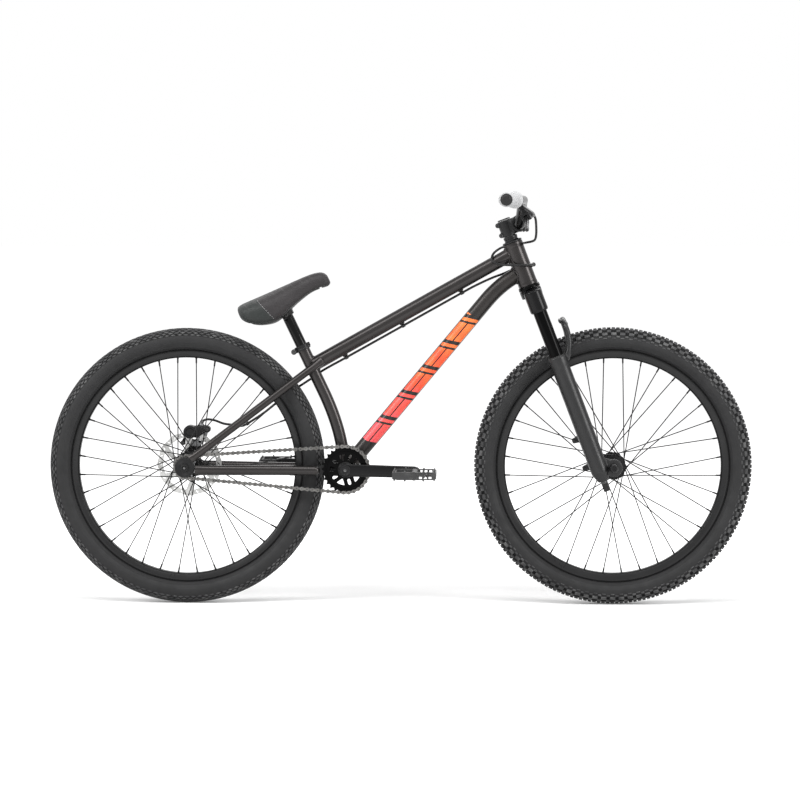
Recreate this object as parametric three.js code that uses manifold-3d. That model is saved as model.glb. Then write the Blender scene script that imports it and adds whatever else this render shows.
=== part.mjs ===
// Dirt jump bike: a hardtail with one gear, a rear disc brake and a short travel fork.
// Millimetres. +X points forward, +Y to the rider's left, +Z up; the drive side is on -Y.
// The origin lies on the ground, half way along the bike and in its mid-plane.
import * as THREE from 'three';
import { mergeVertices } from 'three/addons/utils/BufferGeometryUtils.js';
import Module from 'manifold-3d';

const wasm = await Module();
wasm.setup();

// Stance
const wheelbase = 1042;
const rearTyreRadius = 337.5;
const frontTyreRadius = 339;
const bottomBracketDrop = 5.5;
const chainstayLength = 390.7;
const headAngle = 69.2;
const forkLength = 485.6;
const forkOffset = 37;
const forkTravel = 100;

// Gap between neighbouring pieces, and how far a cut runs past what it cuts
const gap = 0.3;
const overrun = 4;

// Frame tubes
const headTubeLength = 111;
const headTubeRadius = 24.5;
const headTubeWall = 4;
const topTubeRadius = 17.3;
const topTubeAngle = 29.25;
const topTubeJoin = 87.8;
const topTubeSetIn = 4.5;
const downTubeRadius = 19;
const downTubeAngle = 50.2;
const downTubeTopAngle = 33;
const downTubeJoin = 38;
const downTubeBend = 44;
const frameTubeWall = 1.8;
const seatTubeRadius = 15.3;
const seatTubeRise = 301.5;
const seatTubeSetback = 110.4;
const seatAngle = 64.5;
const seatTubeStraight = 126;
const seatTubeFootAngle = 82;
const seatTubeFootOffset = 3.5;
const seatTubeFootBend = 71;
const seatTubeBoreDepth = 112;
const shellRadius = 21.5;
const shellLength = 73;
const shellBoreRadius = 17;
const seatstayRadius = 9.5;
const seatstayAngle = 37;
const seatstayAxleRise = 9;
const seatstayStart = 27;
const seatstayLength = 391.6;
const chainstayRadius = 11;
const chainstayStart = 25;
const chainstayFrontSetback = 73.9;
const chainstayDrop = 3.5;
const chainstayAxleDrop = 5;
const yokeInside = 34;
const yokeThickness = 6.5;
const yokeOverlap = 20;
const yokeRearHeight = 22;
const yokeFrontHeight = 34;
const hubSpacing = 135;
const dropoutThickness = 7;
const dropoutRadius = 24.5;
const brakeTabHeight = 60;
const brakeTabWidth = 38;
const guideLength = 12;
const guideWidth = 5;
const hoseDrop = 24;

// Headset, bottom bracket and seat post
const cupHeight = 9.7;
const cupRadius = 26;
const upperCupHeight = 17;
const upperCupTopRadius = 19;
const cupSleeve = 12;
const bracketFlange = 3;
const bracketDepth = 14;
const seatPostRadius = 13.6;
const seatPostExposed = 82;
const seatPostInserted = 75;
const seatClampHeight = 14;
const seatClampWall = 3.4;
const seatClampEar = 12;
const seatClampEarWidth = 20;
const seatClampSlot = 2;
const seatClampBoltRadius = 3.2;

// Wheels
const tyreWidth = 59;
const tyreBeadRadius = 276;
const tyreBeadThickness = 3.2;
const rimInnerRadius = 265;
const rimOuterRadius = 285;
const rimWidth = 32;
const rimWall = 2.4;
const rimShoulder = 10;
const wheelSides = 32;
const spokeCount = 36;
const spokeRadius = 1;
const spokeSweep = 60;
const spokeRimOffset = 3;
const spokeHeadRadius = 29;
const flangeRadius = 32;
const flangeThickness = 4;

// Front hub and axle
const frontHubSpacing = 100;
const frontFlangeSpacing = 60;
const frontHubBodyRadius = 17;
const frontHubShell = 76;
const frontHubEndRadius = 11;
const frontAxleRadius = 7.5;

// Rear hub, axle, rotor and cog
const rearAxleRadius = 5;
const axleHeadRadius = 11;
const axleHeadThickness = 9;
const frontAxleHead = 4;
const rearFlangeRight = 30;
const rearFlangeLeft = 31;
const rearHubBodyRadius = 20;
const rearHubEndRadius = 9.5;
const freehubRadius = 15.5;
const freehubEnd = 56;
const rotorRadius = 80;
const rotorThickness = 1.8;
const rotorY = 52;
const rotorBandWidth = 14;
const rotorHubRadius = 26;
const rotorArms = 6;
const rotorArmShare = 0.28;
const rotorSpigotRadius = 16.5;
const rotorLean = 22;

// Drivetrain
const chainLine = 48;
const chainPitch = 12.7;
const sprocketTeeth = 28;
const cogTeeth = 13;
const toothRise = 2;
const toothTipShare = 0.3;
const sprocketThickness = 3;
const sprocketSlots = 5;
const sprocketSlotInnerShare = 0.44;
const sprocketSlotOuterShare = 0.78;
const sprocketSlotSpanShare = 0.72;
const chainInsideWidth = 4.6;
const chainPlateThickness = 1.3;
const chainPlateHeight = 8.6;
const chainRollerRadius = 3.2;
const chainRollersPerRun = 7;
const spindleRadius = 12;
const crankLength = 170;
const crankAngle = 1.2;
const crankRootY = 57;
const crankFlare = 11;
const crankThickness = 15;
const crankRootRadius = 17;
const crankTipRadius = 13.5;
const pedalThreadRadius = 7.2;

// Pedals
const pedalLength = 107;
const pedalWidth = 100;
const pedalHeight = 16;
const pedalRim = 13;
const pedalCorner = 18;
const pedalSpine = 22;
const pedalAxleRadius = 5;
const pedalGap = 5;
const pedalCollarRadius = 8.5;
const pedalPinRadius = 2;
const pedalPinHeight = 4;
const pedalPinInset = 5;

// Fork
const legSpread = 62;
const legForward = 3;
const crownTop = 10;
const crownMiddle = 30;
const crownSocketBottom = 68;
const crownSocketRadius = 22.5;
const crownDepth = 38;
const crownShoulderDrop = 4;
const crownArchHalf = 30;
const crownSocketTop = 18;
const steererRadius = 14.3;
const steererTop = 167;
const stanchionRadius = 17;
const stanchionBottom = 330;
const lowersTop = 182;
const lowersBottom = forkLength + 21.4;
const lowersRadius = 22.3;
const lowersFootRadius = 14;
const lowersFootHeight = 22;
const lowersBoreRoom = 12;
const forkBossRadius = 22;
const forkBossOuter = 68;
const archRadius = 9;
const archReach = 48;
const archRise = 72;
const knobRadius = 8;
const knobLength = 26;
const knobRim = 2;
const brakeLugRise = 85.6;
const brakeLugSpacing = 73;
const brakeLugReach = 29;
const brakeLugWidth = 14;
const brakeLugHeight = 16;

// Stem and bar
const stemReach = 33;
const stemHeight = 40;
const stemCentre = 149;
const stemClampRadius = 18.5;
const stemBarClampRadius = 21;
const stemWidth = 50;
const stemNeckWidth = 38;
const stemNeckHeight = 34;
const stemBoltRadius = 6;
const stemBoltReach = 19;
const stemBoltHalf = 14;
const stemBoltSpread = 13;
const faceplateBoltSpread = 17;
const faceplateBoltDepth = 24;
const faceplateBoltRadius = 4;
const capRadius = 16;
const capHeight = 4;
const barClampRadius = 15.9;
const barRadius = 11.1;
const barWall = 2;
const barHalfWidth = 383;
const barRise = 57;
const barBackset = 33.9;
const barBulgeHalf = 29;
const barTaperHalf = 37;
const gripLength = 131;
const gripRadius = 15.5;
const gripFlangeRadius = 20.5;
const gripFlangeThickness = 4;
const gripCapLength = 5;
const gripCapRadius = 13.5;

// Brake
const leverFromMiddle = 215;
const leverDrop = 60;
const leverClampRadius = 15.5;
const leverClampWidth = 13;
const leverBodyRadius = 9;
const leverBodyX = 36;
const leverBodyOuter = 12;
const leverBodyInner = 34;
const leverPivotX = 50;
const leverPivotY = 16;
const leverPivotRadius = 3.5;
const leverEyeRadius = 7;
const leverEarHeight = 22;
const leverBladeHeight = 9;
const leverBladeReach = 32;
const leverBladeLength = 103;
const leverBladeWidth = 10;
const leverFittingRadius = 5;
const leverFittingX = 47;
const leverFittingZ = 9;
const leverFittingInner = 40;
const hoseRadius = 2.5;
const hoseSides = 6;
const guideRingRadius = 5.5;
const guideRingLength = 9;
const caliperAngle = 11.2;
const caliperLength = 44;
const caliperBottom = 61;
const caliperTop = 98;
const caliperWidth = 32;
const caliperSlotTop = 90;
const padLength = 26;
const padHeight = 15;
const padThickness = 2.2;
const padRunning = 0.4;
const pistonRadius = 12;
const banjoX = 10;
const banjoHeight = 6;
const banjoRadius = 7;
const adapterBottom = 42;
const adapterThickness = 9;
const adapterFront = 12;

// Saddle
const saddleTilt = 25;
const saddleLength = 236;
const saddleWidth = 142;
const saddleHeight = 75;
const saddleTail = 104;
const saddleSkirt = 6;
const saddleSides = 12;
const saddleBaseThickness = 8;

// Counts of sides on round pieces
const tubeSides = 12;
const smallSides = 8;
const wheelPartSides = 20;
const rotorSides = 36;
const rollerSides = 6;
const pinSides = 4;

const degree = Math.PI / 180;
const turn = Math.PI * 2;

// Colours
function finish(color, roughness, metalness) {
  return new THREE.MeshStandardMaterial({ color, roughness, metalness });
}
const framePaint = finish(0x33302e, 0.42, 0.55);
const satinBlack = finish(0x18181a, 0.5, 0.3);
const glossBlack = finish(0x0b0b0c, 0.12, 0.6);
const rubber = finish(0x26272a, 0.85, 0);
const steel = finish(0xb9bbbd, 0.28, 1);
const gripRubber = finish(0xb7b9bb, 0.75, 0);
const padding = finish(0x161617, 0.8, 0);
const plastic = finish(0x101011, 0.6, 0);
const greyMetal = finish(0x8d9093, 0.4, 0.9);

// A closed mesh as a solid that can be cut and joined.
function toSolid(geometry) {
  const bare = geometry.clone();
  bare.deleteAttribute('normal');
  bare.deleteAttribute('uv');
  const merged = mergeVertices(bare);
  const corners = merged.index.array;
  const kept = [];
  for (let i = 0; i < corners.length; i += 3) {
    const [a, b, c] = [corners[i], corners[i + 1], corners[i + 2]];
    if (a !== b && b !== c && c !== a) kept.push(a, b, c);
  }
  return new wasm.Manifold(new wasm.Mesh({
    numProp: 3,
    vertProperties: new Float32Array(merged.attributes.position.array),
    triVerts: new Uint32Array(kept),
  }));
}

// A solid as a mesh geometry.
function toGeometry(solid) {
  const mesh = solid.getMesh();
  const geometry = new THREE.BufferGeometry();
  geometry.setAttribute('position', new THREE.BufferAttribute(mesh.vertProperties, 3));
  geometry.setIndex(new THREE.BufferAttribute(mesh.triVerts, 1));
  geometry.computeVertexNormals();
  return geometry;
}

function joined(first, ...others) {
  return others.reduce((sum, next) => sum.add(next), first);
}

function cut(first, ...others) {
  return others.reduce((rest, next) => rest.subtract(next), first);
}

function point(x, y, z) {
  return new THREE.Vector3(x, y, z);
}

// A point in the bike's mid-plane.
function side(x, z) {
  return point(x, 0, z);
}

// Puts a geometry that was built along Y onto the line between two points.
function laidAlong(geometry, from, to) {
  const along = to.clone().sub(from).normalize();
  const reference = Math.abs(along.y) < Math.SQRT1_2 ? point(0, 1, 0) : point(1, 0, 0);
  const across = reference.cross(along).normalize();
  const third = across.clone().cross(along);
  geometry.applyMatrix4(new THREE.Matrix4().makeBasis(across, along, third).setPosition(from));
  return geometry;
}

// A solid cylinder or cone between two points.
function rod(from, to, radius, sides = tubeSides, endRadius = radius) {
  const length = from.distanceTo(to);
  const geometry = new THREE.CylinderGeometry(endRadius, radius, length, sides);
  geometry.translate(0, length / 2, 0);
  return toSolid(laidAlong(geometry, from, to));
}

// A cylinder across the bike, from one y to another, round the point x, z.
function crossRod(x, z, fromY, toY, radius, sides = tubeSides) {
  return rod(point(x, fromY, z), point(x, toY, z), radius, sides);
}

// A profile of [radius, y] points spun round the Y axis; a closed ring unless it ends on the axis.
function spun(profile, sides, turnedBy = 0) {
  const outline = wound(profile, false);
  const onAxis = outline[0].x === 0 && outline[outline.length - 1].x === 0;
  if (!onAxis) outline.push(outline[0].clone());
  return toSolid(new THREE.LatheGeometry(outline, sides, turnedBy, turn));
}

// A list of points in the plane, in the order that winds the wanted way.
function wound(points, clockwise) {
  const corners = points.map(([x, y]) => new THREE.Vector2(x, y));
  return THREE.ShapeUtils.isClockWise(corners) === clockwise ? corners : corners.reverse();
}

// An outline of [x, y] points as a level slab between two heights.
function slabGeometry(outline, fromZ, toZ, holes = []) {
  const shape = new THREE.Shape(wound(outline, false));
  shape.holes = holes.map((hole) => new THREE.Path(wound(hole, true)));
  const geometry = new THREE.ExtrudeGeometry(shape, { depth: toZ - fromZ, bevelEnabled: false });
  geometry.translate(0, 0, fromZ);
  return geometry;
}

// An outline of [x, z] points as a plate across the bike between two y values.
function plateGeometry(outline, fromY, toY, holes = []) {
  return slabGeometry(outline, -toY, -fromY, holes).rotateX(turn / 4);
}

function plate(outline, fromY, toY, holes = []) {
  return toSolid(plateGeometry(outline, fromY, toY, holes));
}

function box(fromX, toX, fromY, toY, fromZ, toZ) {
  const geometry = new THREE.BoxGeometry(toX - fromX, toY - fromY, toZ - fromZ);
  geometry.translate((fromX + toX) / 2, (fromY + toY) / 2, (fromZ + toZ) / 2);
  return toSolid(geometry);
}

// The radius of a faceted bore that clears a round piece inside it at every turn.
function around(radius, sides = tubeSides) {
  return (radius + gap) / Math.cos(turn / sides / 2);
}

// Points round a circle, or round part of one.
function arc(centreX, centreZ, radius, fromAngle, toAngle, steps) {
  const points = [];
  for (let i = 0; i <= steps; i += 1) {
    const angle = fromAngle + ((toAngle - fromAngle) * i) / steps;
    points.push([centreX + radius * Math.cos(angle), centreZ + radius * Math.sin(angle)]);
  }
  return points;
}

// A smooth route whose sections fall on its own points.
class Route extends THREE.CatmullRomCurve3 {
  getPointAt(share) {
    return this.getPoint(share);
  }

  getTangentAt(share) {
    return this.getTangent(share);
  }
}

// A round solid along a list of points.
function tube(points, radius, sides = tubeSides, steps = 1) {
  const section = new THREE.Shape(
    arc(0, 0, radius, 0, turn - turn / sides, sides - 1).map(([x, y]) => new THREE.Vector2(x, y)),
  );
  const geometry = new THREE.ExtrudeGeometry(section, {
    steps: (points.length - 1) * steps,
    extrudePath: new Route(points),
    bevelEnabled: false,
  });
  return toSolid(geometry);
}

function named(name, solid, material, parent) {
  const mesh = new THREE.Mesh(toGeometry(solid), material);
  mesh.name = name;
  parent.add(mesh);
  return mesh;
}

// Where two lines in the mid-plane meet, each given by a point and its slope angle.
function meeting(first, firstAngle, second, secondAngle) {
  const a = side(Math.cos(firstAngle * degree), Math.sin(firstAngle * degree));
  const b = side(Math.cos(secondAngle * degree), Math.sin(secondAngle * degree));
  const between = second.clone().sub(first);
  const distance = (between.x * b.z - between.z * b.x) / (a.x * b.z - a.z * b.x);
  return first.clone().addScaledVector(a, distance);
}

function direction(angle) {
  return side(Math.cos(angle * degree), Math.sin(angle * degree));
}

// The points of a round bend that starts before a corner and ends after it.
function bend(corner, fromDirection, fromLength, toDirection, toLength, steps) {
  const start = corner.clone().addScaledVector(fromDirection, -fromLength);
  const end = corner.clone().addScaledVector(toDirection, toLength);
  return new THREE.QuadraticBezierCurve3(start, corner, end).getPoints(steps);
}

const bike = new THREE.Group();

// Main points of the bike
const rearAxle = side((rearTyreRadius - frontTyreRadius - wheelbase) / 2, rearTyreRadius);
const frontAxle = side(rearAxle.x + wheelbase, frontTyreRadius);
const bottomBracket = side(
  rearAxle.x + Math.sqrt(chainstayLength ** 2 - bottomBracketDrop ** 2),
  rearAxle.z - bottomBracketDrop,
);
const headUp = side(-Math.cos(headAngle * degree), Math.sin(headAngle * degree));
const headForward = side(Math.sin(headAngle * degree), Math.cos(headAngle * degree));
const headFoot = frontAxle.clone()
  .addScaledVector(headUp, forkLength)
  .addScaledVector(headForward, -forkOffset);
const headTilt = -(90 - headAngle) * degree;

function alongHead(distance) {
  return headFoot.clone().addScaledVector(headUp, distance);
}

// A group that follows the steering axis, with its origin at the foot of the head tube.
function headGroup() {
  const group = new THREE.Group();
  group.position.copy(headFoot);
  group.rotation.y = headTilt;
  bike.add(group);
  return group;
}

// Frame: centre lines
const seatTop = side(bottomBracket.x - seatTubeSetback, bottomBracket.z + seatTubeRise);
const seatUp = direction(180 - seatAngle);
const seatBendTop = seatTop.clone().addScaledVector(seatUp, -seatTubeStraight);
const seatFoot = side(bottomBracket.x - seatTubeFootOffset, bottomBracket.z);
const seatCorner = meeting(seatFoot, 180 - seatTubeFootAngle, seatTop, 180 - seatAngle);
const seatBend = bend(
  seatCorner,
  direction(180 - seatTubeFootAngle),
  seatTubeFootBend,
  seatUp,
  seatCorner.distanceTo(seatBendTop),
  4,
);
const seatPath = [seatFoot, ...seatBend, seatTop];

const downTop = alongHead(downTubeJoin);
const downCorner = meeting(bottomBracket, downTubeAngle, downTop, downTubeTopAngle);
const downBend = bend(
  downCorner,
  direction(downTubeAngle),
  downTubeBend,
  direction(downTubeTopAngle),
  downTubeBend,
  4,
);
const downPath = [bottomBracket, ...downBend, downTop];

const topFront = alongHead(topTubeJoin);
const topMeeting = meeting(topFront, topTubeAngle, seatTop, 180 - seatAngle);
const topRear = topMeeting.clone().addScaledVector(direction(topTubeAngle), topTubeSetIn);
const topPath = [topRear, topFront];

// Frame: tools that cut one tube to fit another
const headTool = rod(alongHead(-overrun), alongHead(headTubeLength + overrun), headTubeRadius + gap);
const shellTool = crossRod(bottomBracket.x, bottomBracket.z, -shellLength, shellLength, shellRadius + gap);
const seatTool = tube(seatPath, seatTubeRadius + gap);
const topTool = tube(topPath, topTubeRadius + gap);

function pipe(path, radius) {
  return tube(path, radius).subtract(tube(path, radius - frameTubeWall));
}

// Where the hose runs under the top tube, as a distance back from the head tube
function underTopTube(fromHead, drop) {
  const down = direction(topTubeAngle - 90);
  return topFront.clone().addScaledVector(direction(topTubeAngle), -fromHead).addScaledVector(down, drop);
}

const topTubeLength = topFront.distanceTo(topMeeting);
const guideShares = [0.2852, 0.5722, 0.8505];

function hoseGuide(share) {
  const fromHead = share * topTubeLength;
  const foot = underTopTube(fromHead, topTubeRadius - frameTubeWall);
  const tip = underTopTube(fromHead, hoseDrop - hoseRadius - gap);
  const length = foot.distanceTo(tip);
  const geometry = new THREE.BoxGeometry(guideLength, guideWidth, length);
  geometry.rotateY(-topTubeAngle * degree);
  const middle = foot.clone().add(tip).multiplyScalar(0.5);
  geometry.translate(middle.x, 0, middle.z);
  return toSolid(geometry);
}

// Head tube, with the ring that carries the hose on its front
const headFrame = headGroup();
const guideHeight = 43;
const guideForward = headTubeRadius + guideRingRadius - gap * 2;
const headBoreRadius = headTubeRadius - headTubeWall;
const headBoreTool = rod(point(0, 0, -overrun), point(0, 0, headTubeLength + overrun), headBoreRadius);
const headShell = rod(point(0, 0, 0), point(0, 0, headTubeLength), headTubeRadius);
const guideHalf = guideRingLength / 2;
const hoseRing = cut(
  crossRod(guideForward, guideHeight, -guideHalf, guideHalf, guideRingRadius, smallSides),
  crossRod(guideForward, guideHeight, -guideRingLength, guideRingLength, hoseRadius + gap * 2, smallSides),
);
named('head_tube', cut(joined(headShell, hoseRing), headBoreTool), framePaint, headFrame);

// Main tubes
const topTube = cut(pipe(topPath, topTubeRadius), headTool, seatTool);
named('top_tube', joined(topTube, ...guideShares.map(hoseGuide)), framePaint, bike);
named('down_tube', cut(pipe(downPath, downTubeRadius), headTool, shellTool, seatTool), framePaint, bike);

const seatBore = rod(
  seatTop.clone().addScaledVector(seatUp, -seatTubeBoreDepth),
  seatTop.clone().addScaledVector(seatUp, overrun),
  seatPostRadius + gap,
);
named('seat_tube', cut(tube(seatPath, seatTubeRadius), seatBore, shellTool), framePaint, bike);

const halfShell = shellLength / 2;
const shell = cut(
  crossRod(bottomBracket.x, bottomBracket.z, -halfShell, halfShell, shellRadius),
  crossRod(bottomBracket.x, bottomBracket.z, -shellLength, shellLength, shellBoreRadius),
);
named('bottom_bracket_shell', shell, framePaint, bike);

// Rear triangle, one side at a time: hand is 1 on the left and -1 on the right
const dropoutMiddle = (hubSpacing + dropoutThickness) / 2;
const stayRise = direction(seatstayAngle);
const stayOrigin = side(rearAxle.x, rearAxle.z + seatstayAxleRise);
const seatstaySpreadShares = [0, 0.34, 0.72, 0.84, 0.93, 1];

function dropout(hand, extra) {
  const lastAngle = turn - turn / wheelPartSides;
  const round = arc(rearAxle.x, rearAxle.z, dropoutRadius + extra, 0, lastAngle, wheelPartSides - 1);
  const inner = hubSpacing / 2 - extra;
  const outer = hubSpacing / 2 + dropoutThickness + extra;
  const [fromY, toY] = hand > 0 ? [inner, outer] : [-outer, -inner];
  const disc = plate(round, fromY, toY);
  if (hand < 0) return disc;
  const half = brakeTabWidth / 2 + extra;
  const top = brakeTabHeight + extra;
  const tab = plateGeometry([[-half, 0], [half, 0], [half, top], [-half, top]], fromY, toY);
  const turned = toSolid(tab.rotateY(caliperAngle * degree).translate(rearAxle.x, 0, rearAxle.z));
  return disc.add(turned);
}

function seatstay(hand) {
  const spreads = [
    dropoutMiddle,
    dropoutMiddle - seatstayRadius,
    tyreWidth / 2 + seatstayRadius + overrun,
    tyreWidth / 2 + seatstayRadius - overrun,
    seatTubeRadius + seatstayRadius + gap,
    topTubeRadius,
  ];
  const path = seatstaySpreadShares.map((share, i) => {
    const place = stayOrigin.clone().addScaledVector(stayRise, seatstayStart + share * seatstayLength);
    place.y = hand * spreads[i];
    return place;
  });
  return tube(path, seatstayRadius, smallSides, 2);
}

const chainstaySpreadShares = [0, 0.34, 0.68, 1];

function chainstay(hand) {
  const frontX = bottomBracket.x - chainstayFrontSetback;
  const startX = rearAxle.x + chainstayStart;
  const spreads = [
    dropoutMiddle,
    dropoutMiddle - chainstayRadius,
    tyreWidth / 2 + chainstayRadius + overrun * 2,
    tyreWidth / 2 + chainstayRadius + overrun,
  ];
  const path = chainstaySpreadShares.map((share, i) => point(
    startX + (frontX - startX) * share,
    hand * spreads[i],
    rearAxle.z - chainstayAxleDrop - chainstayDrop * share,
  ));
  const stay = tube(path, chainstayRadius, smallSides, 2);
  const centreZ = rearAxle.z - chainstayAxleDrop - chainstayDrop;
  const yoke = [
    [frontX - yokeOverlap, centreZ - yokeRearHeight / 2],
    [bottomBracket.x, bottomBracket.z - yokeFrontHeight / 2],
    [bottomBracket.x, bottomBracket.z + yokeFrontHeight / 2],
    [frontX - yokeOverlap, centreZ + yokeRearHeight / 2],
  ];
  const outside = yokeInside + yokeThickness;
  const [fromY, toY] = hand > 0 ? [yokeInside, outside] : [-outside, -yokeInside];
  return cut(joined(stay, plate(yoke, fromY, toY)), shellTool, dropout(hand, gap));
}

const hands = { right: -1, left: 1 };
for (const [sideName, hand] of Object.entries(hands)) {
  const stay = cut(seatstay(hand), seatTool, topTool, dropout(hand, gap));
  named(`seatstay_${sideName}`, stay, framePaint, bike);
  named(`chainstay_${sideName}`, chainstay(hand), framePaint, bike);
  const holeRadius = rearAxleRadius + gap;
  const axleHole = crossRod(rearAxle.x, rearAxle.z, -hubSpacing, hubSpacing, holeRadius, smallSides);
  named(`dropout_${sideName}`, dropout(hand, 0).subtract(axleHole), satinBlack, bike);
}

// Headset cups, with their sleeves pressed inside the head tube
function sleeve(fromZ, toZ) {
  return rod(point(0, 0, fromZ), point(0, 0, toZ), headTubeRadius - headTubeWall - gap);
}

const steererTool = rod(
  point(0, 0, -headTubeLength),
  point(0, 0, headTubeLength * 2),
  around(steererRadius),
);
const lowerCup = joined(
  rod(point(0, 0, -cupHeight), point(0, 0, -gap), cupRadius),
  sleeve(-gap * 2, cupSleeve),
);
named('headset_lower_cup', lowerCup.subtract(steererTool), satinBlack, headFrame);

const upperCupFoot = headTubeLength + gap;
const upperCupTop = headTubeLength + upperCupHeight;
const upperCup = joined(
  rod(point(0, 0, upperCupFoot), point(0, 0, upperCupTop), headTubeRadius, tubeSides, upperCupTopRadius),
  sleeve(headTubeLength - cupSleeve, upperCupFoot + gap),
);
named('headset_upper_cup', upperCup.subtract(steererTool), satinBlack, headFrame);

// Bottom bracket cups
for (const [sideName, hand] of Object.entries(hands)) {
  const face = halfShell + gap;
  const cup = spun([
    [around(spindleRadius), hand * (halfShell - bracketDepth)],
    [shellBoreRadius - gap, hand * (halfShell - bracketDepth)],
    [shellBoreRadius - gap, hand * face],
    [shellRadius - gap, hand * face],
    [shellRadius - gap, hand * (face + bracketFlange)],
    [around(spindleRadius), hand * (face + bracketFlange)],
  ], tubeSides);
  named(`bottom_bracket_cup_${sideName}`, cup, satinBlack, bike).position.copy(bottomBracket);
}

// Seat post, clamp and saddle
const saddlePivot = seatTop.clone().addScaledVector(seatUp, seatPostExposed);
const postFoot = seatTop.clone().addScaledVector(seatUp, -seatPostInserted);
const postHeadHalf = seatPostRadius - overrun / 2;
const post = joined(
  rod(postFoot, saddlePivot, seatPostRadius),
  crossRod(saddlePivot.x, saddlePivot.z, -postHeadHalf, postHeadHalf, seatPostRadius),
);
named('seat_post', post, satinBlack, bike);

const clampGroup = new THREE.Group();
clampGroup.position.copy(seatTop);
clampGroup.rotation.y = (seatAngle - 90) * degree;
bike.add(clampGroup);
const clampRadius = seatTubeRadius + gap + seatClampWall;
const clampBack = -clampRadius - seatClampEar;
const clampBoltX = -clampRadius - seatClampEar / 2;
const clampBoltZ = -seatClampHeight / 2;
const clampEarHalf = seatClampEarWidth / 2;
function collarBolt(half) {
  return crossRod(clampBoltX, clampBoltZ, -half, half, seatClampBoltRadius, smallSides);
}

const collar = joined(
  rod(point(0, 0, -seatClampHeight), point(0, 0, 0), clampRadius),
  box(clampBack, -seatTubeRadius, -clampEarHalf, clampEarHalf, -seatClampHeight, 0),
  collarBolt(clampEarHalf + overrun),
);
const collarBore = rod(point(0, 0, -seatClampHeight * 2), point(0, 0, overrun), seatTubeRadius + gap);
const slotHalfWidth = seatClampSlot / 2;
const collarSlot = box(clampBack * 2, 0, -slotHalfWidth, slotHalfWidth, -seatClampHeight * 2, overrun);
const openCollar = cut(collar, collarBore, collarSlot);
named('seat_clamp', joined(openCollar, collarBolt(clampEarHalf)), satinBlack, clampGroup);

// The saddle from tail to nose: place along its length, top, bottom and half width, each a share of
// the saddle's length, height and half width
const saddleShares = [
  [0, 0.82, 0.46, 0.62],
  [0.02, 0.865, 0.36, 0.78],
  [0.07, 0.89, 0.2, 0.95],
  [0.162, 0.876, 0.009, 1],
  [0.294, 0.856, -0.11, 0.958],
  [0.403, 0.85, -0.057, 0.845],
  [0.513, 0.845, 0.076, 0.704],
  [0.645, 0.844, 0.203, 0.535],
  [0.776, 0.84, 0.289, 0.408],
  [0.886, 0.81, 0.276, 0.338],
  [0.961, 0.73, 0.25, 0.282],
  [1, 0.56, 0.33, 0.17],
];
const crownShare = 0.06;
const flankPower = 0.62;

// A closed form through rings of points, capped flat at both ends.
function loft(rings) {
  const count = rings[0].length;
  const corners = rings.flat();
  const faces = [];
  for (let r = 0; r + 1 < rings.length; r += 1) {
    for (let i = 0; i < count; i += 1) {
      const next = (i + 1) % count;
      const [a, b] = [r * count + i, r * count + next];
      faces.push(a, b, a + count, b, b + count, a + count);
    }
  }
  const last = (rings.length - 1) * count;
  for (let i = 1; i + 1 < count; i += 1) {
    faces.push(0, i + 1, i);
    faces.push(last, last + i, last + i + 1);
  }
  const geometry = new THREE.BufferGeometry().setFromPoints(corners);
  geometry.setIndex(faces);
  return toSolid(geometry);
}

// The saddle's form drawn in by some width, its underside lowered by some depth
function saddleForm(inset, lowered, stations) {
  const rings = stations.map(([along, top, bottom, half]) => {
    const x = along * saddleLength - saddleTail;
    const low = bottom * saddleHeight - lowered;
    const high = top * saddleHeight;
    const width = (half * saddleWidth) / 2 - inset;
    const ring = [];
    for (let i = 0; i < saddleSides; i += 1) {
      const angle = (turn * (i + 1 / 2)) / saddleSides;
      const c = Math.cos(angle);
      const s = Math.sin(angle);
      const y = width * Math.sign(c) * Math.abs(c) ** flankPower;
      const lift = (Math.sign(s) * Math.abs(s) ** flankPower + 1) / 2;
      const crown = s > 0 ? crownShare * saddleHeight * (s - Math.abs(c)) : 0;
      ring.push(point(x, y, low + (high - low) * lift + crown));
    }
    return ring;
  });
  return loft(rings);
}

// What lies under a line that follows the saddle's underside at some height over it
function underLine(height, stations) {
  const line = stations.map(([along, , bottom]) => [
    along * saddleLength - saddleTail,
    bottom * saddleHeight + height,
  ]);
  const ends = [[line[line.length - 1][0], -saddleHeight], [line[0][0], -saddleHeight]];
  return plate([...line, ...ends], -saddleWidth, saddleWidth);
}

const saddleGroup = new THREE.Group();
saddleGroup.position.copy(saddlePivot);
saddleGroup.rotation.y = -saddleTilt * degree;
bike.add(saddleGroup);
const innerStations = saddleShares.slice(2, -2);
const pocket = saddleForm(saddleSkirt, saddleBaseThickness, innerStations)
  .intersect(underLine(saddleBaseThickness + gap, innerStations));
const blockHalf = postHeadHalf + gap;
const blockTop = seatPostRadius + overrun;
const postRoom = joined(
  rod(point(0, 0, -saddleHeight), point(0, 0, gap * 4), seatPostRadius + overrun),
  crossRod(0, 0, -blockHalf - gap, blockHalf + gap, around(seatPostRadius)),
);
const blockRoom = box(
  -blockTop - gap,
  blockTop + gap,
  -blockHalf - overrun - gap,
  blockHalf + overrun + gap,
  -saddleHeight / 2,
  blockTop + gap,
);
const saddleCover = cut(saddleForm(0, 0, saddleShares), pocket, blockRoom);
named('saddle_cover', saddleCover, padding, saddleGroup);
const block = box(-blockTop, blockTop, -blockHalf - overrun, blockHalf + overrun, 0, blockTop);
const saddleShell = saddleForm(saddleSkirt + gap, 0, innerStations)
  .intersect(underLine(saddleBaseThickness, innerStations));
const saddleBase = joined(saddleShell, block);
const baseEnds = box(
  innerStations[0][0] * saddleLength - saddleTail + gap,
  innerStations[innerStations.length - 1][0] * saddleLength - saddleTail - gap,
  -saddleWidth,
  saddleWidth,
  -saddleHeight,
  saddleHeight,
);
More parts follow.
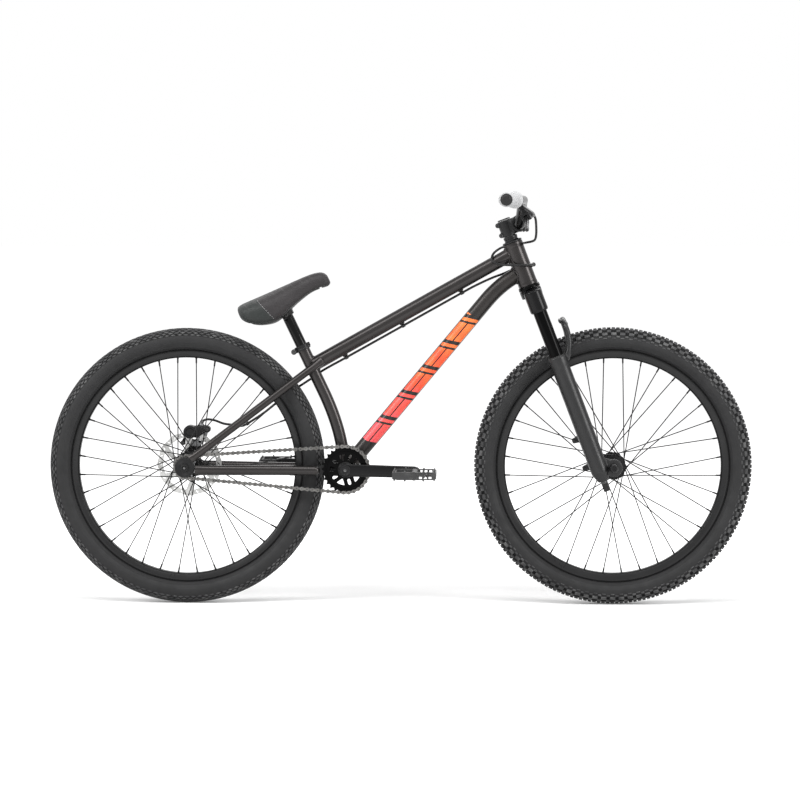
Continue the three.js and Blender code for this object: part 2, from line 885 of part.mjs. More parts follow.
named('saddle_base', saddleBase.intersect(baseEnds).subtract(postRoom), plastic, saddleGroup);

// Wheels
const flatToCorner = 1 / Math.cos(turn / wheelSides / 2);
const wheelPhase = turn / wheelSides / 2;

// The tyre's outside and inside, from the rim to the crown, as shares of its height over the rim and
// of its half width
const tyreOutsideShares = [[0.34, 1], [0.7, 0.96], [1, 0.36]];
const tyreInsideShares = [[0.07, 0.36], [0.36, 0.86], [0.92, 0.27]];

function tyre(radius) {
  const place = ([up, out]) => [rimOuterRadius + (radius - rimOuterRadius) * up, (tyreWidth / 2) * out];
  const bead = rimWidth / 2 - rimWall - gap;
  const outside = [
    [tyreBeadRadius, bead],
    [rimOuterRadius + gap * 4, bead],
    ...tyreOutsideShares.map(place),
  ];
  const inside = [[tyreBeadRadius, bead - tyreBeadThickness], ...tyreInsideShares.map(place)];
  const flats = (points, sign) => points.map(([r, y]) => [r * flatToCorner, sign * y]);
  return spun([
    ...flats(outside, 1),
    ...flats(outside, -1).reverse(),
    ...flats(inside, -1),
    ...flats(inside, 1).reverse(),
  ], wheelSides, wheelPhase);
}

function rim() {
  const half = rimWidth / 2;
  const outside = [
    [rimOuterRadius, half],
    [rimInnerRadius + rimShoulder / 2, half - rimWall / 2],
    [rimInnerRadius, rimShoulder],
  ];
  const inside = [
    [rimOuterRadius, half - rimWall],
    [tyreBeadRadius - gap * 2, half - rimWall],
    [rimInnerRadius + rimWall, rimShoulder - rimWall / 2],
  ];
  const flats = (points, sign) => points.map(([r, y]) => [r * flatToCorner, sign * y]);
  return spun([
    ...flats(outside, 1),
    ...flats(outside, -1).reverse(),
    ...flats(inside, -1),
    ...flats(inside, 1).reverse(),
  ], wheelSides, wheelPhase);
}

// The spokes of one side, crossed three times and joined where they lie on one another. They are laid
// out flat and then dished: on a straight spoke the dish is the same at the same distance from the axle.
function spokes(hand, flangeFace) {
  const rimRadius = rimInnerRadius - gap;
  const sweep = spokeSweep * degree;
  const length = Math.sqrt(
    spokeHeadRadius ** 2 + rimRadius ** 2 - 2 * spokeHeadRadius * rimRadius * Math.cos(sweep),
  );
  const miss = (spokeHeadRadius * rimRadius * Math.sin(sweep)) / length;
  const alongSpoke = (radius) => Math.sqrt(Math.max(radius ** 2 - miss ** 2, 0));
  const overFlange = alongSpoke(flangeRadius) - alongSpoke(spokeHeadRadius);
  const headY = flangeFace + spokeRadius + gap + (flangeFace * overFlange) / length;
  const dish = (headY - spokeRimOffset) / length;
  const step = turn / spokeCount;
  const flat = [];
  for (let k = hand > 0 ? 1 : 0; k < spokeCount; k += 2) {
    const trailing = k % 4 === 0 || k % 4 === 3;
    const rimAngle = step * (k + 1 / 2);
    const hubAngle = rimAngle + (trailing ? -sweep : sweep);
    const head = side(spokeHeadRadius * Math.cos(hubAngle), spokeHeadRadius * Math.sin(hubAngle));
    const end = side(rimRadius * Math.cos(rimAngle), rimRadius * Math.sin(rimAngle));
    const bar = new THREE.BoxGeometry(spokeRadius * 2, length, spokeRadius * 2);
    bar.translate(0, length / 2, 0);
    flat.push(toSolid(laidAlong(bar, head, end)));
  }
  const geometry = toGeometry(joined(...flat));
  const places = geometry.attributes.position;
  for (let i = 0; i < places.count; i += 1) {
    const radius = Math.hypot(places.getX(i), places.getZ(i));
    const inward = dish * (alongSpoke(radius) - alongSpoke(spokeHeadRadius));
    places.setY(i, places.getY(i) + hand * (headY - inward));
  }
  return toSolid(geometry);
}

// A hub: its outside from right to left as [radius, y] points, bored for the axle
function hub(outside, boreRadius) {
  const first = outside[0][1];
  const last = outside[outside.length - 1][1];
  return spun([...outside, [boreRadius, last], [boreRadius, first]], tubeSides);
}

function flange(middle, bodyRadius, hand) {
  const outer = middle + (hand * flangeThickness) / 2;
  const inner = middle - (hand * flangeThickness) / 2;
  const points = [
    [bodyRadius, outer],
    [flangeRadius, outer],
    [flangeRadius, inner],
    [bodyRadius, middle - hand * flangeThickness * 2],
  ];
  return hand < 0 ? points : points.reverse();
}

function wheelGroup(axle, parent) {
  const group = new THREE.Group();
  group.position.copy(axle);
  parent.add(group);
  return group;
}

// Front wheel
const frontWheel = wheelGroup(frontAxle, bike);
named('front_tyre', tyre(frontTyreRadius), rubber, frontWheel);
named('front_rim', rim(), satinBlack, frontWheel);
const frontFlange = frontFlangeSpacing / 2;
const frontHubHalf = frontHubSpacing / 2 - gap;
const frontHub = hub([
  [frontHubEndRadius, -frontHubHalf],
  [frontHubEndRadius, -frontHubShell / 2],
  [frontHubBodyRadius, -frontHubShell / 2],
  ...flange(-frontFlange, frontHubBodyRadius, -1),
  ...flange(frontFlange, frontHubBodyRadius, 1),
  [frontHubBodyRadius, frontHubShell / 2],
  [frontHubEndRadius, frontHubShell / 2],
  [frontHubEndRadius, frontHubHalf],
], frontAxleRadius + gap);
named('front_hub', frontHub, satinBlack, frontWheel);
for (const [sideName, hand] of Object.entries(hands)) {
  named(`front_spokes_${sideName}`, spokes(hand, frontFlange + flangeThickness / 2), satinBlack, frontWheel);
}

// Rear wheel
const rearWheel = wheelGroup(rearAxle, bike);
named('rear_tyre', tyre(rearTyreRadius), rubber, rearWheel);
named('rear_rim', rim(), satinBlack, rearWheel);
const rearHubHalf = hubSpacing / 2 - gap;
const rotorSeat = rotorY - rotorThickness / 2 - gap;
const rearHub = hub([
  [rearHubEndRadius, -rearHubHalf],
  [rearHubEndRadius, -freehubEnd],
  [freehubRadius, -freehubEnd],
  [freehubRadius, -rearFlangeRight - flangeThickness],
  ...flange(-rearFlangeRight, rearHubBodyRadius, -1),
  ...flange(rearFlangeLeft, rearHubBodyRadius, 1),
  [rearHubBodyRadius, rotorSeat],
  [rotorSpigotRadius, rotorSeat],
  [rotorSpigotRadius, rotorY + rotorThickness],
  [rearHubEndRadius, rotorY + rotorThickness],
  [rearHubEndRadius, rearHubHalf],
], rearAxleRadius + gap);
named('rear_hub', rearHub, satinBlack, rearWheel);
const rearFaces = { right: rearFlangeRight, left: rearFlangeLeft };
for (const [sideName, hand] of Object.entries(hands)) {
  const laced = spokes(hand, rearFaces[sideName] + flangeThickness / 2);
  named(`rear_spokes_${sideName}`, laced, satinBlack, rearWheel);
}

// Windows between the arms of a disc, from one radius to another, leaning by some angle
function windows(count, innerRadius, outerRadius, armShare, lean, steps) {
  const holes = [];
  const step = turn / count;
  const half = (step * (1 - armShare)) / 2;
  for (let i = 0; i < count; i += 1) {
    const middle = step * i;
    const outer = arc(0, 0, outerRadius, middle - half, middle + half, steps);
    const inner = arc(0, 0, innerRadius, middle + half + lean, middle - half + lean, steps / 2);
    holes.push([...outer, ...inner]);
  }
  return holes;
}

function circle(radius, sides) {
  return arc(0, 0, radius, 0, turn - turn / sides, sides - 1);
}

// Brake rotor
const rotorWindowOuter = rotorRadius - rotorBandWidth;
const rotor = plate(
  circle(rotorRadius, rotorSides),
  rotorY - rotorThickness / 2,
  rotorY + rotorThickness / 2,
  [
    circle(around(rotorSpigotRadius), tubeSides),
    ...windows(rotorArms, rotorHubRadius, rotorWindowOuter, rotorArmShare, rotorLean * degree, 4),
  ],
);
named('brake_rotor', rotor, steel, rearWheel);

// Rear axle with a bolt at each end
const dropoutOuter = hubSpacing / 2 + dropoutThickness + gap;
const axle = spun([
  [0, -dropoutOuter - axleHeadThickness],
  [axleHeadRadius, -dropoutOuter - axleHeadThickness],
  [axleHeadRadius, -dropoutOuter],
  [rearAxleRadius, -dropoutOuter],
  [rearAxleRadius, dropoutOuter],
  [axleHeadRadius, dropoutOuter],
  [axleHeadRadius, dropoutOuter + axleHeadThickness],
  [0, dropoutOuter + axleHeadThickness],
], smallSides);
named('rear_axle', axle, satinBlack, bike).position.copy(rearAxle);

// Sprocket, cog and chain
function pitchRadius(teeth) {
  return chainPitch / (2 * Math.sin(turn / teeth / 2));
}

function toothedOutline(teeth) {
  const middle = pitchRadius(teeth);
  const step = turn / teeth;
  const outline = [];
  for (let i = 0; i < teeth; i += 1) {
    for (const [share, radius] of [
      [-1, middle - chainRollerRadius],
      [-toothTipShare, middle + toothRise],
      [toothTipShare, middle + toothRise],
    ]) {
      const angle = step * (i + share / 2);
      outline.push([radius * Math.cos(angle), radius * Math.sin(angle)]);
    }
  }
  return outline;
}

const sprocketPitch = pitchRadius(sprocketTeeth);
const cogPitch = pitchRadius(cogTeeth);
const toothedFrom = -chainLine - sprocketThickness / 2;
const toothedTo = -chainLine + sprocketThickness / 2;

const crankGroup = wheelGroup(bottomBracket, bike);
crankGroup.rotation.y = crankAngle * degree;
const sprocket = plate(toothedOutline(sprocketTeeth), toothedFrom, toothedTo, [
  circle(around(spindleRadius), tubeSides),
  ...windows(
    sprocketSlots,
    sprocketPitch * sprocketSlotInnerShare,
    sprocketPitch * sprocketSlotOuterShare,
    1 - sprocketSlotSpanShare,
    0,
    4,
  ),
]);
named('sprocket', sprocket, satinBlack, crankGroup);
const cogBore = circle(around(freehubRadius), tubeSides);
const cog = plate(toothedOutline(cogTeeth), toothedFrom, toothedTo, [cogBore]);
named('rear_cog', cog, greyMetal, rearWheel);

// The loop round two circles, at some distance outside them
function belt(first, firstRadius, second, secondRadius, outside, steps) {
  const dx = second.x - first.x;
  const dz = second.z - first.z;
  const heading = Math.atan2(dz, dx);
  const spread = Math.acos((firstRadius - secondRadius) / Math.hypot(dx, dz));
  return [
    ...arc(first.x, first.z, firstRadius + outside, heading + spread, heading - spread + turn, steps),
    ...arc(second.x, second.z, secondRadius + outside, heading - spread, heading + spread, steps),
  ];
}

const chainSteps = 10;
const plateHalf = chainPlateHeight / 2;
function chainStrip(hand) {
  const inner = -chainLine + (hand * chainInsideWidth) / 2;
  const outer = inner + hand * chainPlateThickness;
  return plate(
    belt(bottomBracket, sprocketPitch, rearAxle, cogPitch, plateHalf, chainSteps),
    Math.min(inner, outer),
    Math.max(inner, outer),
    [belt(bottomBracket, sprocketPitch, rearAxle, cogPitch, -plateHalf, chainSteps)],
  );
}

const pitchLine = belt(bottomBracket, sprocketPitch, rearAxle, cogPitch, 0, chainSteps);
const runs = [
  [pitchLine[pitchLine.length - 1], pitchLine[0]],
  [pitchLine[chainSteps], pitchLine[chainSteps + 1]],
];
const rollers = [];
const rollerHalf = (chainInsideWidth + chainPlateThickness) / 2;
const rollerFrom = -chainLine - rollerHalf;
const rollerTo = -chainLine + rollerHalf;
for (const [start, end] of runs) {
  for (let i = 1; i <= chainRollersPerRun; i += 1) {
    const share = i / (chainRollersPerRun + 1);
    const x = start[0] + (end[0] - start[0]) * share;
    const z = start[1] + (end[1] - start[1]) * share;
    rollers.push(crossRod(x, z, rollerFrom, rollerTo, chainRollerRadius, rollerSides));
  }
}
named('chain', joined(chainStrip(1), chainStrip(-1), ...rollers), steel, bike);

// Cranks: each arm leans outward from its root to its tip
function crankArm(reach, fromY, toY) {
  const root = { x: 0, z: 0 };
  const tip = { x: reach, z: 0 };
  const outline = belt(root, crankRootRadius, tip, crankTipRadius, 0, chainSteps / 2);
  const geometry = plateGeometry(outline, fromY, toY);
  const lean = crankFlare / crankLength;
  geometry.applyMatrix4(new THREE.Matrix4().set(1, 0, 0, 0, -lean, 1, 0, 0, 0, 0, 1, 0, 0, 0, 0, 1));
  return toSolid(geometry);
}

const rootOuter = crankRootY + crankThickness;
const eyeTool = (reach) => crossRod(reach, 0, -pedalWidth, pedalWidth, pedalThreadRadius + gap, smallSides);
const spindle = crossRod(0, 0, -rootOuter, rootOuter, spindleRadius);
const spindleTool = crossRod(0, 0, -pedalWidth, pedalWidth, spindleRadius + gap);
const rightArm = cut(crankArm(crankLength, -rootOuter, -crankRootY), eyeTool(crankLength));
named('crank_arm_right', joined(rightArm, spindle), satinBlack, crankGroup);
const leftArm = cut(crankArm(-crankLength, crankRootY, rootOuter), eyeTool(-crankLength), spindleTool);
named('crank_arm_left', leftArm, satinBlack, crankGroup);

// Pedals
const tipInner = crankRootY + crankFlare;
const tipOuter = tipInner + crankThickness;
const pedalInner = tipOuter + pedalGap;
const pedalOuter = pedalInner + pedalWidth;

function pedalAxle(hand) {
  return spun([
    [0, hand * tipInner],
    [pedalThreadRadius, hand * tipInner],
    [pedalThreadRadius, hand * (tipOuter + gap * 2)],
    [pedalCollarRadius, hand * (tipOuter + gap * 2)],
    [pedalCollarRadius, hand * (pedalInner - gap)],
    [pedalAxleRadius, hand * (pedalInner - gap)],
    [pedalAxleRadius, hand * (pedalOuter - pedalRim / 2)],
    [0, hand * (pedalOuter - pedalRim / 2)],
  ], smallSides);
}

function pedalBody(hand) {
  const half = pedalLength / 2;
  const cornered = half - pedalCorner;
  const y = (distance) => hand * distance;
  const outline = [
    [-cornered, y(pedalInner)],
    [cornered, y(pedalInner)],
    [half, y(pedalInner + pedalCorner)],
    [half, y(pedalOuter - pedalCorner)],
    [cornered, y(pedalOuter)],
    [-cornered, y(pedalOuter)],
    [-half, y(pedalOuter - pedalCorner)],
    [-half, y(pedalInner + pedalCorner)],
  ];
  const frontOfWindow = half - pedalRim;
  const backOfWindow = pedalSpine / 2;
  const windowTool = (fromX, toX) => box(
    fromX,
    toX,
    Math.min(y(pedalInner + pedalRim), y(pedalOuter - pedalRim)),
    Math.max(y(pedalInner + pedalRim), y(pedalOuter - pedalRim)),
    -pedalHeight,
    pedalHeight,
  );
  const platform = cut(
    toSolid(slabGeometry(outline, -pedalHeight / 2, pedalHeight / 2)),
    windowTool(backOfWindow, frontOfWindow),
    windowTool(-frontOfWindow, -backOfWindow),
  );
  const boreEnd = y(pedalOuter - pedalRim / 2 + gap);
  const bore = crossRod(0, 0, y(0), boreEnd, around(pedalAxleRadius, smallSides), smallSides);
  const pins = [];
  const pinTop = pedalHeight / 2 + pedalPinHeight;
  const middle = (pedalInner + pedalOuter) / 2;
  const spread = pedalWidth / 2 - pedalCorner;
  for (const x of [-half + pedalPinInset, half - pedalPinInset]) {
    for (const place of [middle - spread, middle, middle + spread]) {
      pins.push(rod(point(x, y(place), -pinTop), point(x, y(place), pinTop), pedalPinRadius, pinSides));
    }
  }
  return joined(platform.subtract(bore), ...pins);
}

for (const [sideName, hand] of Object.entries(hands)) {
  const reach = -hand * crankLength;
  named(`pedal_axle_${sideName}`, pedalAxle(hand), steel, crankGroup).position.x = reach;
  const pedal = named(`pedal_${sideName}`, pedalBody(hand), satinBlack, crankGroup);
  pedal.position.x = reach;
  pedal.rotation.y = -crankAngle * degree;
}

// Fork crown with its steerer
const steering = headGroup();
function atLeg(hand, z) {
  return point(legForward, hand * legSpread, z);
}

const crownOutline = [
  [-legSpread, -crownTop - crownShoulderDrop],
  [-crownArchHalf, -crownTop],
  [crownArchHalf, -crownTop],
  [legSpread, -crownTop - crownShoulderDrop],
  [legSpread, -crownSocketBottom + crownSocketTop],
  [crownArchHalf, -crownTop - crownMiddle],
  [-crownArchHalf, -crownTop - crownMiddle],
  [-legSpread, -crownSocketBottom + crownSocketTop],
];
const crownFrom = legForward - crownDepth / 2;
const crownTo = legForward + crownDepth / 2;
const crownBridge = toSolid(plateGeometry(crownOutline, -crownTo, -crownFrom).rotateZ(turn / 4));
const boreBottom = stanchionBottom + forkTravel + lowersBoreRoom;
const sockets = [];
const stanchionTools = [];
for (const hand of Object.values(hands)) {
  sockets.push(rod(
    atLeg(hand, -crownSocketBottom),
    atLeg(hand, -crownTop - crownShoulderDrop),
    crownSocketRadius,
  ));
  stanchionTools.push(rod(
    atLeg(hand, -boreBottom),
    atLeg(hand, -crownSocketTop),
    stanchionRadius + gap,
  ));
}
const steerer = rod(point(0, 0, -crownTop - crownShoulderDrop), point(0, 0, steererTop), steererRadius);
named('fork_crown', cut(joined(crownBridge, ...sockets, steerer), ...stanchionTools), satinBlack, steering);
for (const [sideName, hand] of Object.entries(hands)) {
  const stanchion = rod(atLeg(hand, -stanchionBottom), atLeg(hand, -crownSocketTop - gap), stanchionRadius);
  named(`stanchion_${sideName}`, stanchion, glossBlack, steering);
}

// Fork lowers: two legs, the arch in front of the tyre and the feet that hold the axle
const axleX = forkOffset;
const axleZ = -forkLength;
function lowerLeg(hand) {
  const leg = rod(atLeg(hand, -lowersBottom + lowersFootHeight), atLeg(hand, -lowersTop), lowersRadius);
  const foot = rod(
    atLeg(hand, -lowersBottom),
    atLeg(hand, -lowersBottom + lowersFootHeight),
    lowersFootRadius,
    tubeSides,
    lowersRadius,
  );
  const inner = (hand * frontHubSpacing) / 2;
  const boss = crossRod(axleX, axleZ, inner, hand * forkBossOuter, forkBossRadius);
  return joined(leg, foot, boss);
}

// Half of the arch's centre line, as shares of its reach ahead of the head's axis, of the legs' spread
// and of its rise over the top of the lowers
const archHalfShares = [
  [0.433, 0.927, -0.2],
  [0.906, 0.884, 0.25],
  [1, 0.681, 0.85],
  [1, 0.29, 1],
];
function archPoint([ahead, aside, up], hand) {
  return point(ahead * archReach, hand * aside * legSpread, up * archRise - lowersTop);
}

const archPath = [
  ...archHalfShares.map((shares) => archPoint(shares, -1)),
  ...archHalfShares.map((shares) => archPoint(shares, 1)).reverse(),
];
const lugs = [brakeLugRise, brakeLugRise - brakeLugSpacing].map((rise) => box(
  legForward - brakeLugReach,
  legForward,
  legSpread - brakeLugWidth / 2,
  legSpread + brakeLugWidth / 2,
  rise - forkLength - brakeLugHeight / 2,
  rise - forkLength + brakeLugHeight / 2,
));
const lowers = cut(
  joined(lowerLeg(1), lowerLeg(-1), tube(archPath, archRadius, smallSides), ...lugs),
  ...Object.values(hands).map((hand) => rod(
    atLeg(hand, -boreBottom),
    atLeg(hand, -lowersTop + overrun),
    stanchionRadius + gap,
  )),
  crossRod(axleX, axleZ, -forkBossOuter * 2, forkBossOuter * 2, frontAxleRadius + gap),
);
named('fork_lowers', lowers, satinBlack, steering);

const axleEnd = legSpread + lowersRadius;
const frontAxleRod = joined(
  crossRod(axleX, axleZ, -axleEnd - frontAxleHead / 2, axleEnd, frontAxleRadius, smallSides),
  crossRod(axleX, axleZ, -axleEnd - frontAxleHead, -axleEnd - gap, axleHeadRadius, smallSides),
);
named('front_axle', frontAxleRod, satinBlack, steering);

const knobTop = -lowersBottom - gap;
const knob = joined(
  rod(atLeg(-1, knobTop - knobLength + knobRim), atLeg(-1, knobTop), knobRadius, smallSides),
  rod(
    atLeg(-1, knobTop - knobLength),
    atLeg(-1, knobTop - knobLength + knobRim),
    knobRadius - knobRim,
    smallSides,
    knobRadius,
  ),
);
named('rebound_knob', knob, greyMetal, steering);

// Stem
const barTool = crossRod(stemReach, stemCentre, -stemWidth, stemWidth, around(barClampRadius));
const stemSteererTool = rod(point(0, 0, 0), point(0, 0, steererTop * 2), steererRadius + gap);
const stemFoot = stemCentre - stemHeight / 2;
const stemTop = stemCentre + stemHeight / 2;
const clampBarrel = crossRod(stemReach, stemCentre, -stemWidth / 2, stemWidth / 2, stemBarClampRadius);
const splitFrom = stemReach + gap / 2;
const beyondSplit = box(
  splitFrom - gap,
  stemReach * 2,
  -stemWidth,
  stemWidth,
  stemCentre - stemWidth,
  stemCentre + stemWidth,
);
const neckHalf = stemNeckWidth / 2;
const neck = box(
  0,
  stemReach,
  -neckHalf,
  neckHalf,
  stemCentre - stemNeckHeight / 2,
  stemCentre + stemNeckHeight / 2,
);
const pinch = [stemCentre - stemBoltSpread, stemCentre + stemBoltSpread].map((z) => crossRod(
  -stemBoltReach,
  z,
  -stemBoltHalf,
  stemBoltHalf,
  stemBoltRadius,
  smallSides,
));
const stemBody = cut(
  joined(rod(point(0, 0, stemFoot), point(0, 0, stemTop), stemClampRadius), neck, clampBarrel, ...pinch),
  stemSteererTool,
  barTool,
  beyondSplit,
);
named('stem_body', stemBody, satinBlack, steering);
const faceplateBolts = [];
for (const z of [stemCentre - faceplateBoltSpread, stemCentre + faceplateBoltSpread]) {
  for (const y of [-faceplateBoltSpread, faceplateBoltSpread]) {
    faceplateBolts.push(rod(
      point(splitFrom, y, z),
      point(stemReach + faceplateBoltDepth - stemBoltRadius, y, z),
      faceplateBoltRadius,
      smallSides,
    ));
  }
}
const faceplate = cut(
  joined(clampBarrel.intersect(beyondSplit), ...faceplateBolts),
  barTool,
  box(-stemReach, splitFrom, -stemWidth, stemWidth, 0, stemTop * 2),
);
named('stem_faceplate', faceplate, satinBlack, steering);
const cap = rod(point(0, 0, stemTop + gap), point(0, 0, stemTop + capHeight), capRadius);
named('stem_cap', cap, satinBlack, steering);

// Handlebar: half of its centre line as shares of the half width, the rise and the backset
const barPathShares = [
  [0, 0, 0],
  [0.075, 0, 0],
  [0.12, 0.1, 0.03],
  [0.18, 0.45, 0.11],
  [0.25, 0.83, 0.19],
  [0.31, 0.98, 0.23],
  [1, 1, -1],
];
const bars = new THREE.Group();
bars.position.set(stemReach, 0, stemCentre);
bars.rotation.y = -headTilt;
steering.add(bars);
function barPoint([along, up, ahead], hand) {
  return point(ahead * barBackset, hand * along * barHalfWidth, up * barRise);
}

const barPath = [
  ...barPathShares.slice(1).reverse().map((shares) => barPoint(shares, -1)),
  ...barPathShares.map((shares) => barPoint(shares, 1)),
];
const bulge = spun([
  [barRadius - barWall / 2, -barTaperHalf],
  [barClampRadius, -barBulgeHalf],
  [barClampRadius, barBulgeHalf],
  [barRadius - barWall / 2, barTaperHalf],
], tubeSides);
const handlebar = joined(tube(barPath, barRadius, smallSides), bulge);
named('handlebar', cut(handlebar, tube(barPath, barRadius - barWall, rollerSides)), satinBlack, bars);

// Grips, each with its inner flange and closed by a plug at its outer end
const knee = barPathShares[barPathShares.length - 2];
const barEnd = barPathShares[barPathShares.length - 1];
for (const [sideName, hand] of Object.entries(hands)) {
  const end = barPoint(barEnd, hand);
  const inward = barPoint(knee, hand).sub(end).normalize();
  const grip = spun([
    [0, -gripCapLength],
    [gripCapRadius, -gripCapLength],
    [gripRadius, -gap],
    [gripRadius, gripLength - gripFlangeThickness * 2],
    [gripFlangeRadius, gripLength - gripFlangeThickness],
    [gripFlangeRadius, gripLength],
    [around(barRadius), gripLength],
    [around(barRadius), -gap],
    [0, -gap],
  ], tubeSides);
  const mesh = named(`grip_${sideName}`, grip, gripRubber, bars);
  mesh.position.copy(end);
  mesh.quaternion.setFromUnitVectors(point(0, 1, 0), inward);
}

// Brake lever on the right of the bar: Y runs along the bar, X from the bar to the blade
const leverShare = (leverFromMiddle / barHalfWidth - knee[0]) / (barEnd[0] - knee[0]);
const leverPlace = barPoint(knee, -1).lerp(barPoint(barEnd, -1), leverShare);
const sweepBack = Math.atan2((knee[2] - barEnd[2]) * barBackset, (barEnd[0] - knee[0]) * barHalfWidth);
const leverGroup = new THREE.Group();
leverGroup.position.copy(leverPlace);
leverGroup.rotation.set(0, leverDrop * degree, -sweepBack, 'ZYX');
bars.add(leverGroup);

const clampHalf = leverClampWidth / 2;
const earHalf = leverEarHeight / 2;
const bladeHalf = leverBladeHeight / 2;
const pivotAt = point(leverPivotX, -leverPivotY, 0);
function alongPivot(height) {
  return pivotAt.clone().setZ(height);
}

const leverBody = joined(
  crossRod(0, 0, -clampHalf, clampHalf, leverClampRadius),
  box(leverClampRadius / 2, leverBodyX, -clampHalf, clampHalf, -clampHalf, clampHalf),
  crossRod(leverBodyX, 0, -leverBodyOuter, leverBodyInner, leverBodyRadius),
  box(leverBodyX, leverPivotX, -leverPivotY - leverEyeRadius, -leverBodyOuter / 2, -earHalf, earHalf),
  crossRod(
    leverFittingX,
    leverFittingZ,
    leverBodyInner / 2,
    leverFittingInner,
    leverFittingRadius,
    smallSides,
  ),
  box(leverBodyX, leverFittingX, leverBodyInner / 2, leverBodyInner, 0, leverFittingZ),
  rod(alongPivot(-earHalf), alongPivot(earHalf), leverEyeRadius, smallSides),
);
const bladeRoom = joined(
  rod(alongPivot(-bladeHalf - gap), alongPivot(bladeHalf + gap), leverEyeRadius + gap * 2, smallSides),
  box(
    leverPivotX - leverEyeRadius,
    leverPivotX + leverBladeReach,
    -leverBladeLength,
    -leverPivotY,
    -bladeHalf - gap,
    bladeHalf + gap,
  ),
);
const pivotPin = rod(alongPivot(-earHalf), alongPivot(earHalf), leverPivotRadius, smallSides);
const leverBore = crossRod(0, 0, -leverClampWidth, leverClampWidth, around(barRadius));
named('brake_lever_body', joined(cut(leverBody, leverBore, bladeRoom), pivotPin), satinBlack, leverGroup);

// The blade's centre line from its pivot to its tip, as shares of its reach and its length
const bladeShares = [[0, 0], [0.3, 0.24], [0.56, 0.58], [0.8, 0.82], [1, 1]];
const bladeTaperShare = 0.75;
function bladeOutline() {
  const line = bladeShares.map(([out, along]) => new THREE.Vector2(
    leverPivotX + out * leverBladeReach,
    -leverPivotY - along * leverBladeLength,
  ));
  const edges = [[], []];
  line.forEach((place, i) => {
    const before = line[Math.max(i - 1, 0)];
    const after = line[Math.min(i + 1, line.length - 1)];
    const across = after.clone().sub(before).normalize();
    const half = (leverBladeWidth / 2) * (1 + (bladeTaperShare - 1) * bladeShares[i][1]);
    edges[0].push([place.x - across.y * half, place.y + across.x * half]);
    edges[1].unshift([place.x + across.y * half, place.y - across.x * half]);
  });
  return [...edges[0], ...edges[1]];
}

const blade = cut(
  joined(
    toSolid(slabGeometry(bladeOutline(), -bladeHalf, bladeHalf)),
    rod(alongPivot(-bladeHalf), alongPivot(bladeHalf), leverEyeRadius, smallSides),
  ),
  rod(alongPivot(-earHalf), alongPivot(earHalf), leverPivotRadius + gap, smallSides),
);
named('brake_lever_blade', blade, satinBlack, leverGroup);

// Caliper over the rotor, its pads and its adapter; Z points away from the axle
const caliperGroup = wheelGroup(rearAxle, bike);
caliperGroup.rotation.y = caliperAngle * degree;
const halfCaliper = caliperLength / 2;
const padFace = rotorThickness / 2 + padRunning;
const slotHalf = padFace + padThickness + gap;
const caliperBox = box(
  -halfCaliper,
  halfCaliper,
  rotorY - caliperWidth / 2,
  rotorY + caliperWidth / 2,
  caliperBottom,
  caliperTop,
);
const pistonZ = rotorRadius - rotorBandWidth / 2;
const pistonHalf = caliperWidth / 2 + overrun / 2;
const caliper = cut(
  joined(
    caliperBox,
    crossRod(0, pistonZ, rotorY - pistonHalf, rotorY + pistonHalf, pistonRadius),
    rod(
      point(banjoX, rotorY, caliperTop - overrun),
      point(banjoX, rotorY, caliperTop + banjoHeight),
      banjoRadius,
    ),
  ),
  box(-caliperLength, caliperLength, rotorY - slotHalf, rotorY + slotHalf, 0, caliperSlotTop),
);
named('brake_caliper', caliper, satinBlack, caliperGroup);
const padBottom = pistonZ - padHeight / 2;
for (const [padName, hand] of [['inner', -1], ['outer', 1]]) {
  const near = rotorY + hand * padFace;
  const far = near + hand * padThickness;
  const pad = box(
    -padLength / 2,
    padLength / 2,
    Math.min(near, far),
    Math.max(near, far),
    padBottom,
    padBottom + padHeight,
  );
  named(`brake_pad_${padName}`, pad, greyMetal, caliperGroup);
}
const adapterOuter = hubSpacing / 2 - gap;
const adapter = box(
  -brakeTabWidth / 2,
  adapterFront,
  adapterOuter - adapterThickness,
  adapterOuter,
  adapterBottom,
  caliperBottom - gap,
);
named('caliper_adapter', adapter, greyMetal, caliperGroup);

// Brake hose from the lever round the head tube to the ring on its front, from the foot of the head tube
const frontHosePoints = [
  [7.88, -180, 171.09],
  [9.78, -168, 169.69],
  [10.78, -156, 161.19],
  [11.28, -146, 146.19],
  [11.28, -134, 130.19],
  [10.78, -116, 117.69],
  [8.78, -94, 110.69],
  [3.78, -66, 107.19],
  [-2.22, -36, 105.19],
  [-7.22, -6, 103.69],
  [-8.72, 7, 102.99],
  [-14.22, 20, 102.19],
  [-23.22, 29, 100.69],
  [-37.22, 32, 98.19],
  [-51.22, 29, 95.69],
  [-63.22, 18, 92.19],
  [-72.22, 4, 88.19],
  [-84.22, -5, 78.69],
  [-89.22, -15, 68.69],
  [-87.22, -23, 58.69],
  [-75.22, -26, 52.69],
  [-57.22, -28, 50.19],
  [-37.22, -30, 49.69],
  [-17.22, -30.5, 49.69],
  [-1.22, -25, 49.99],
  [7.78, -14, 50.39],
  [12.18, -4.8, 50.59],
  [12.18, -0.15, 50.59],
];
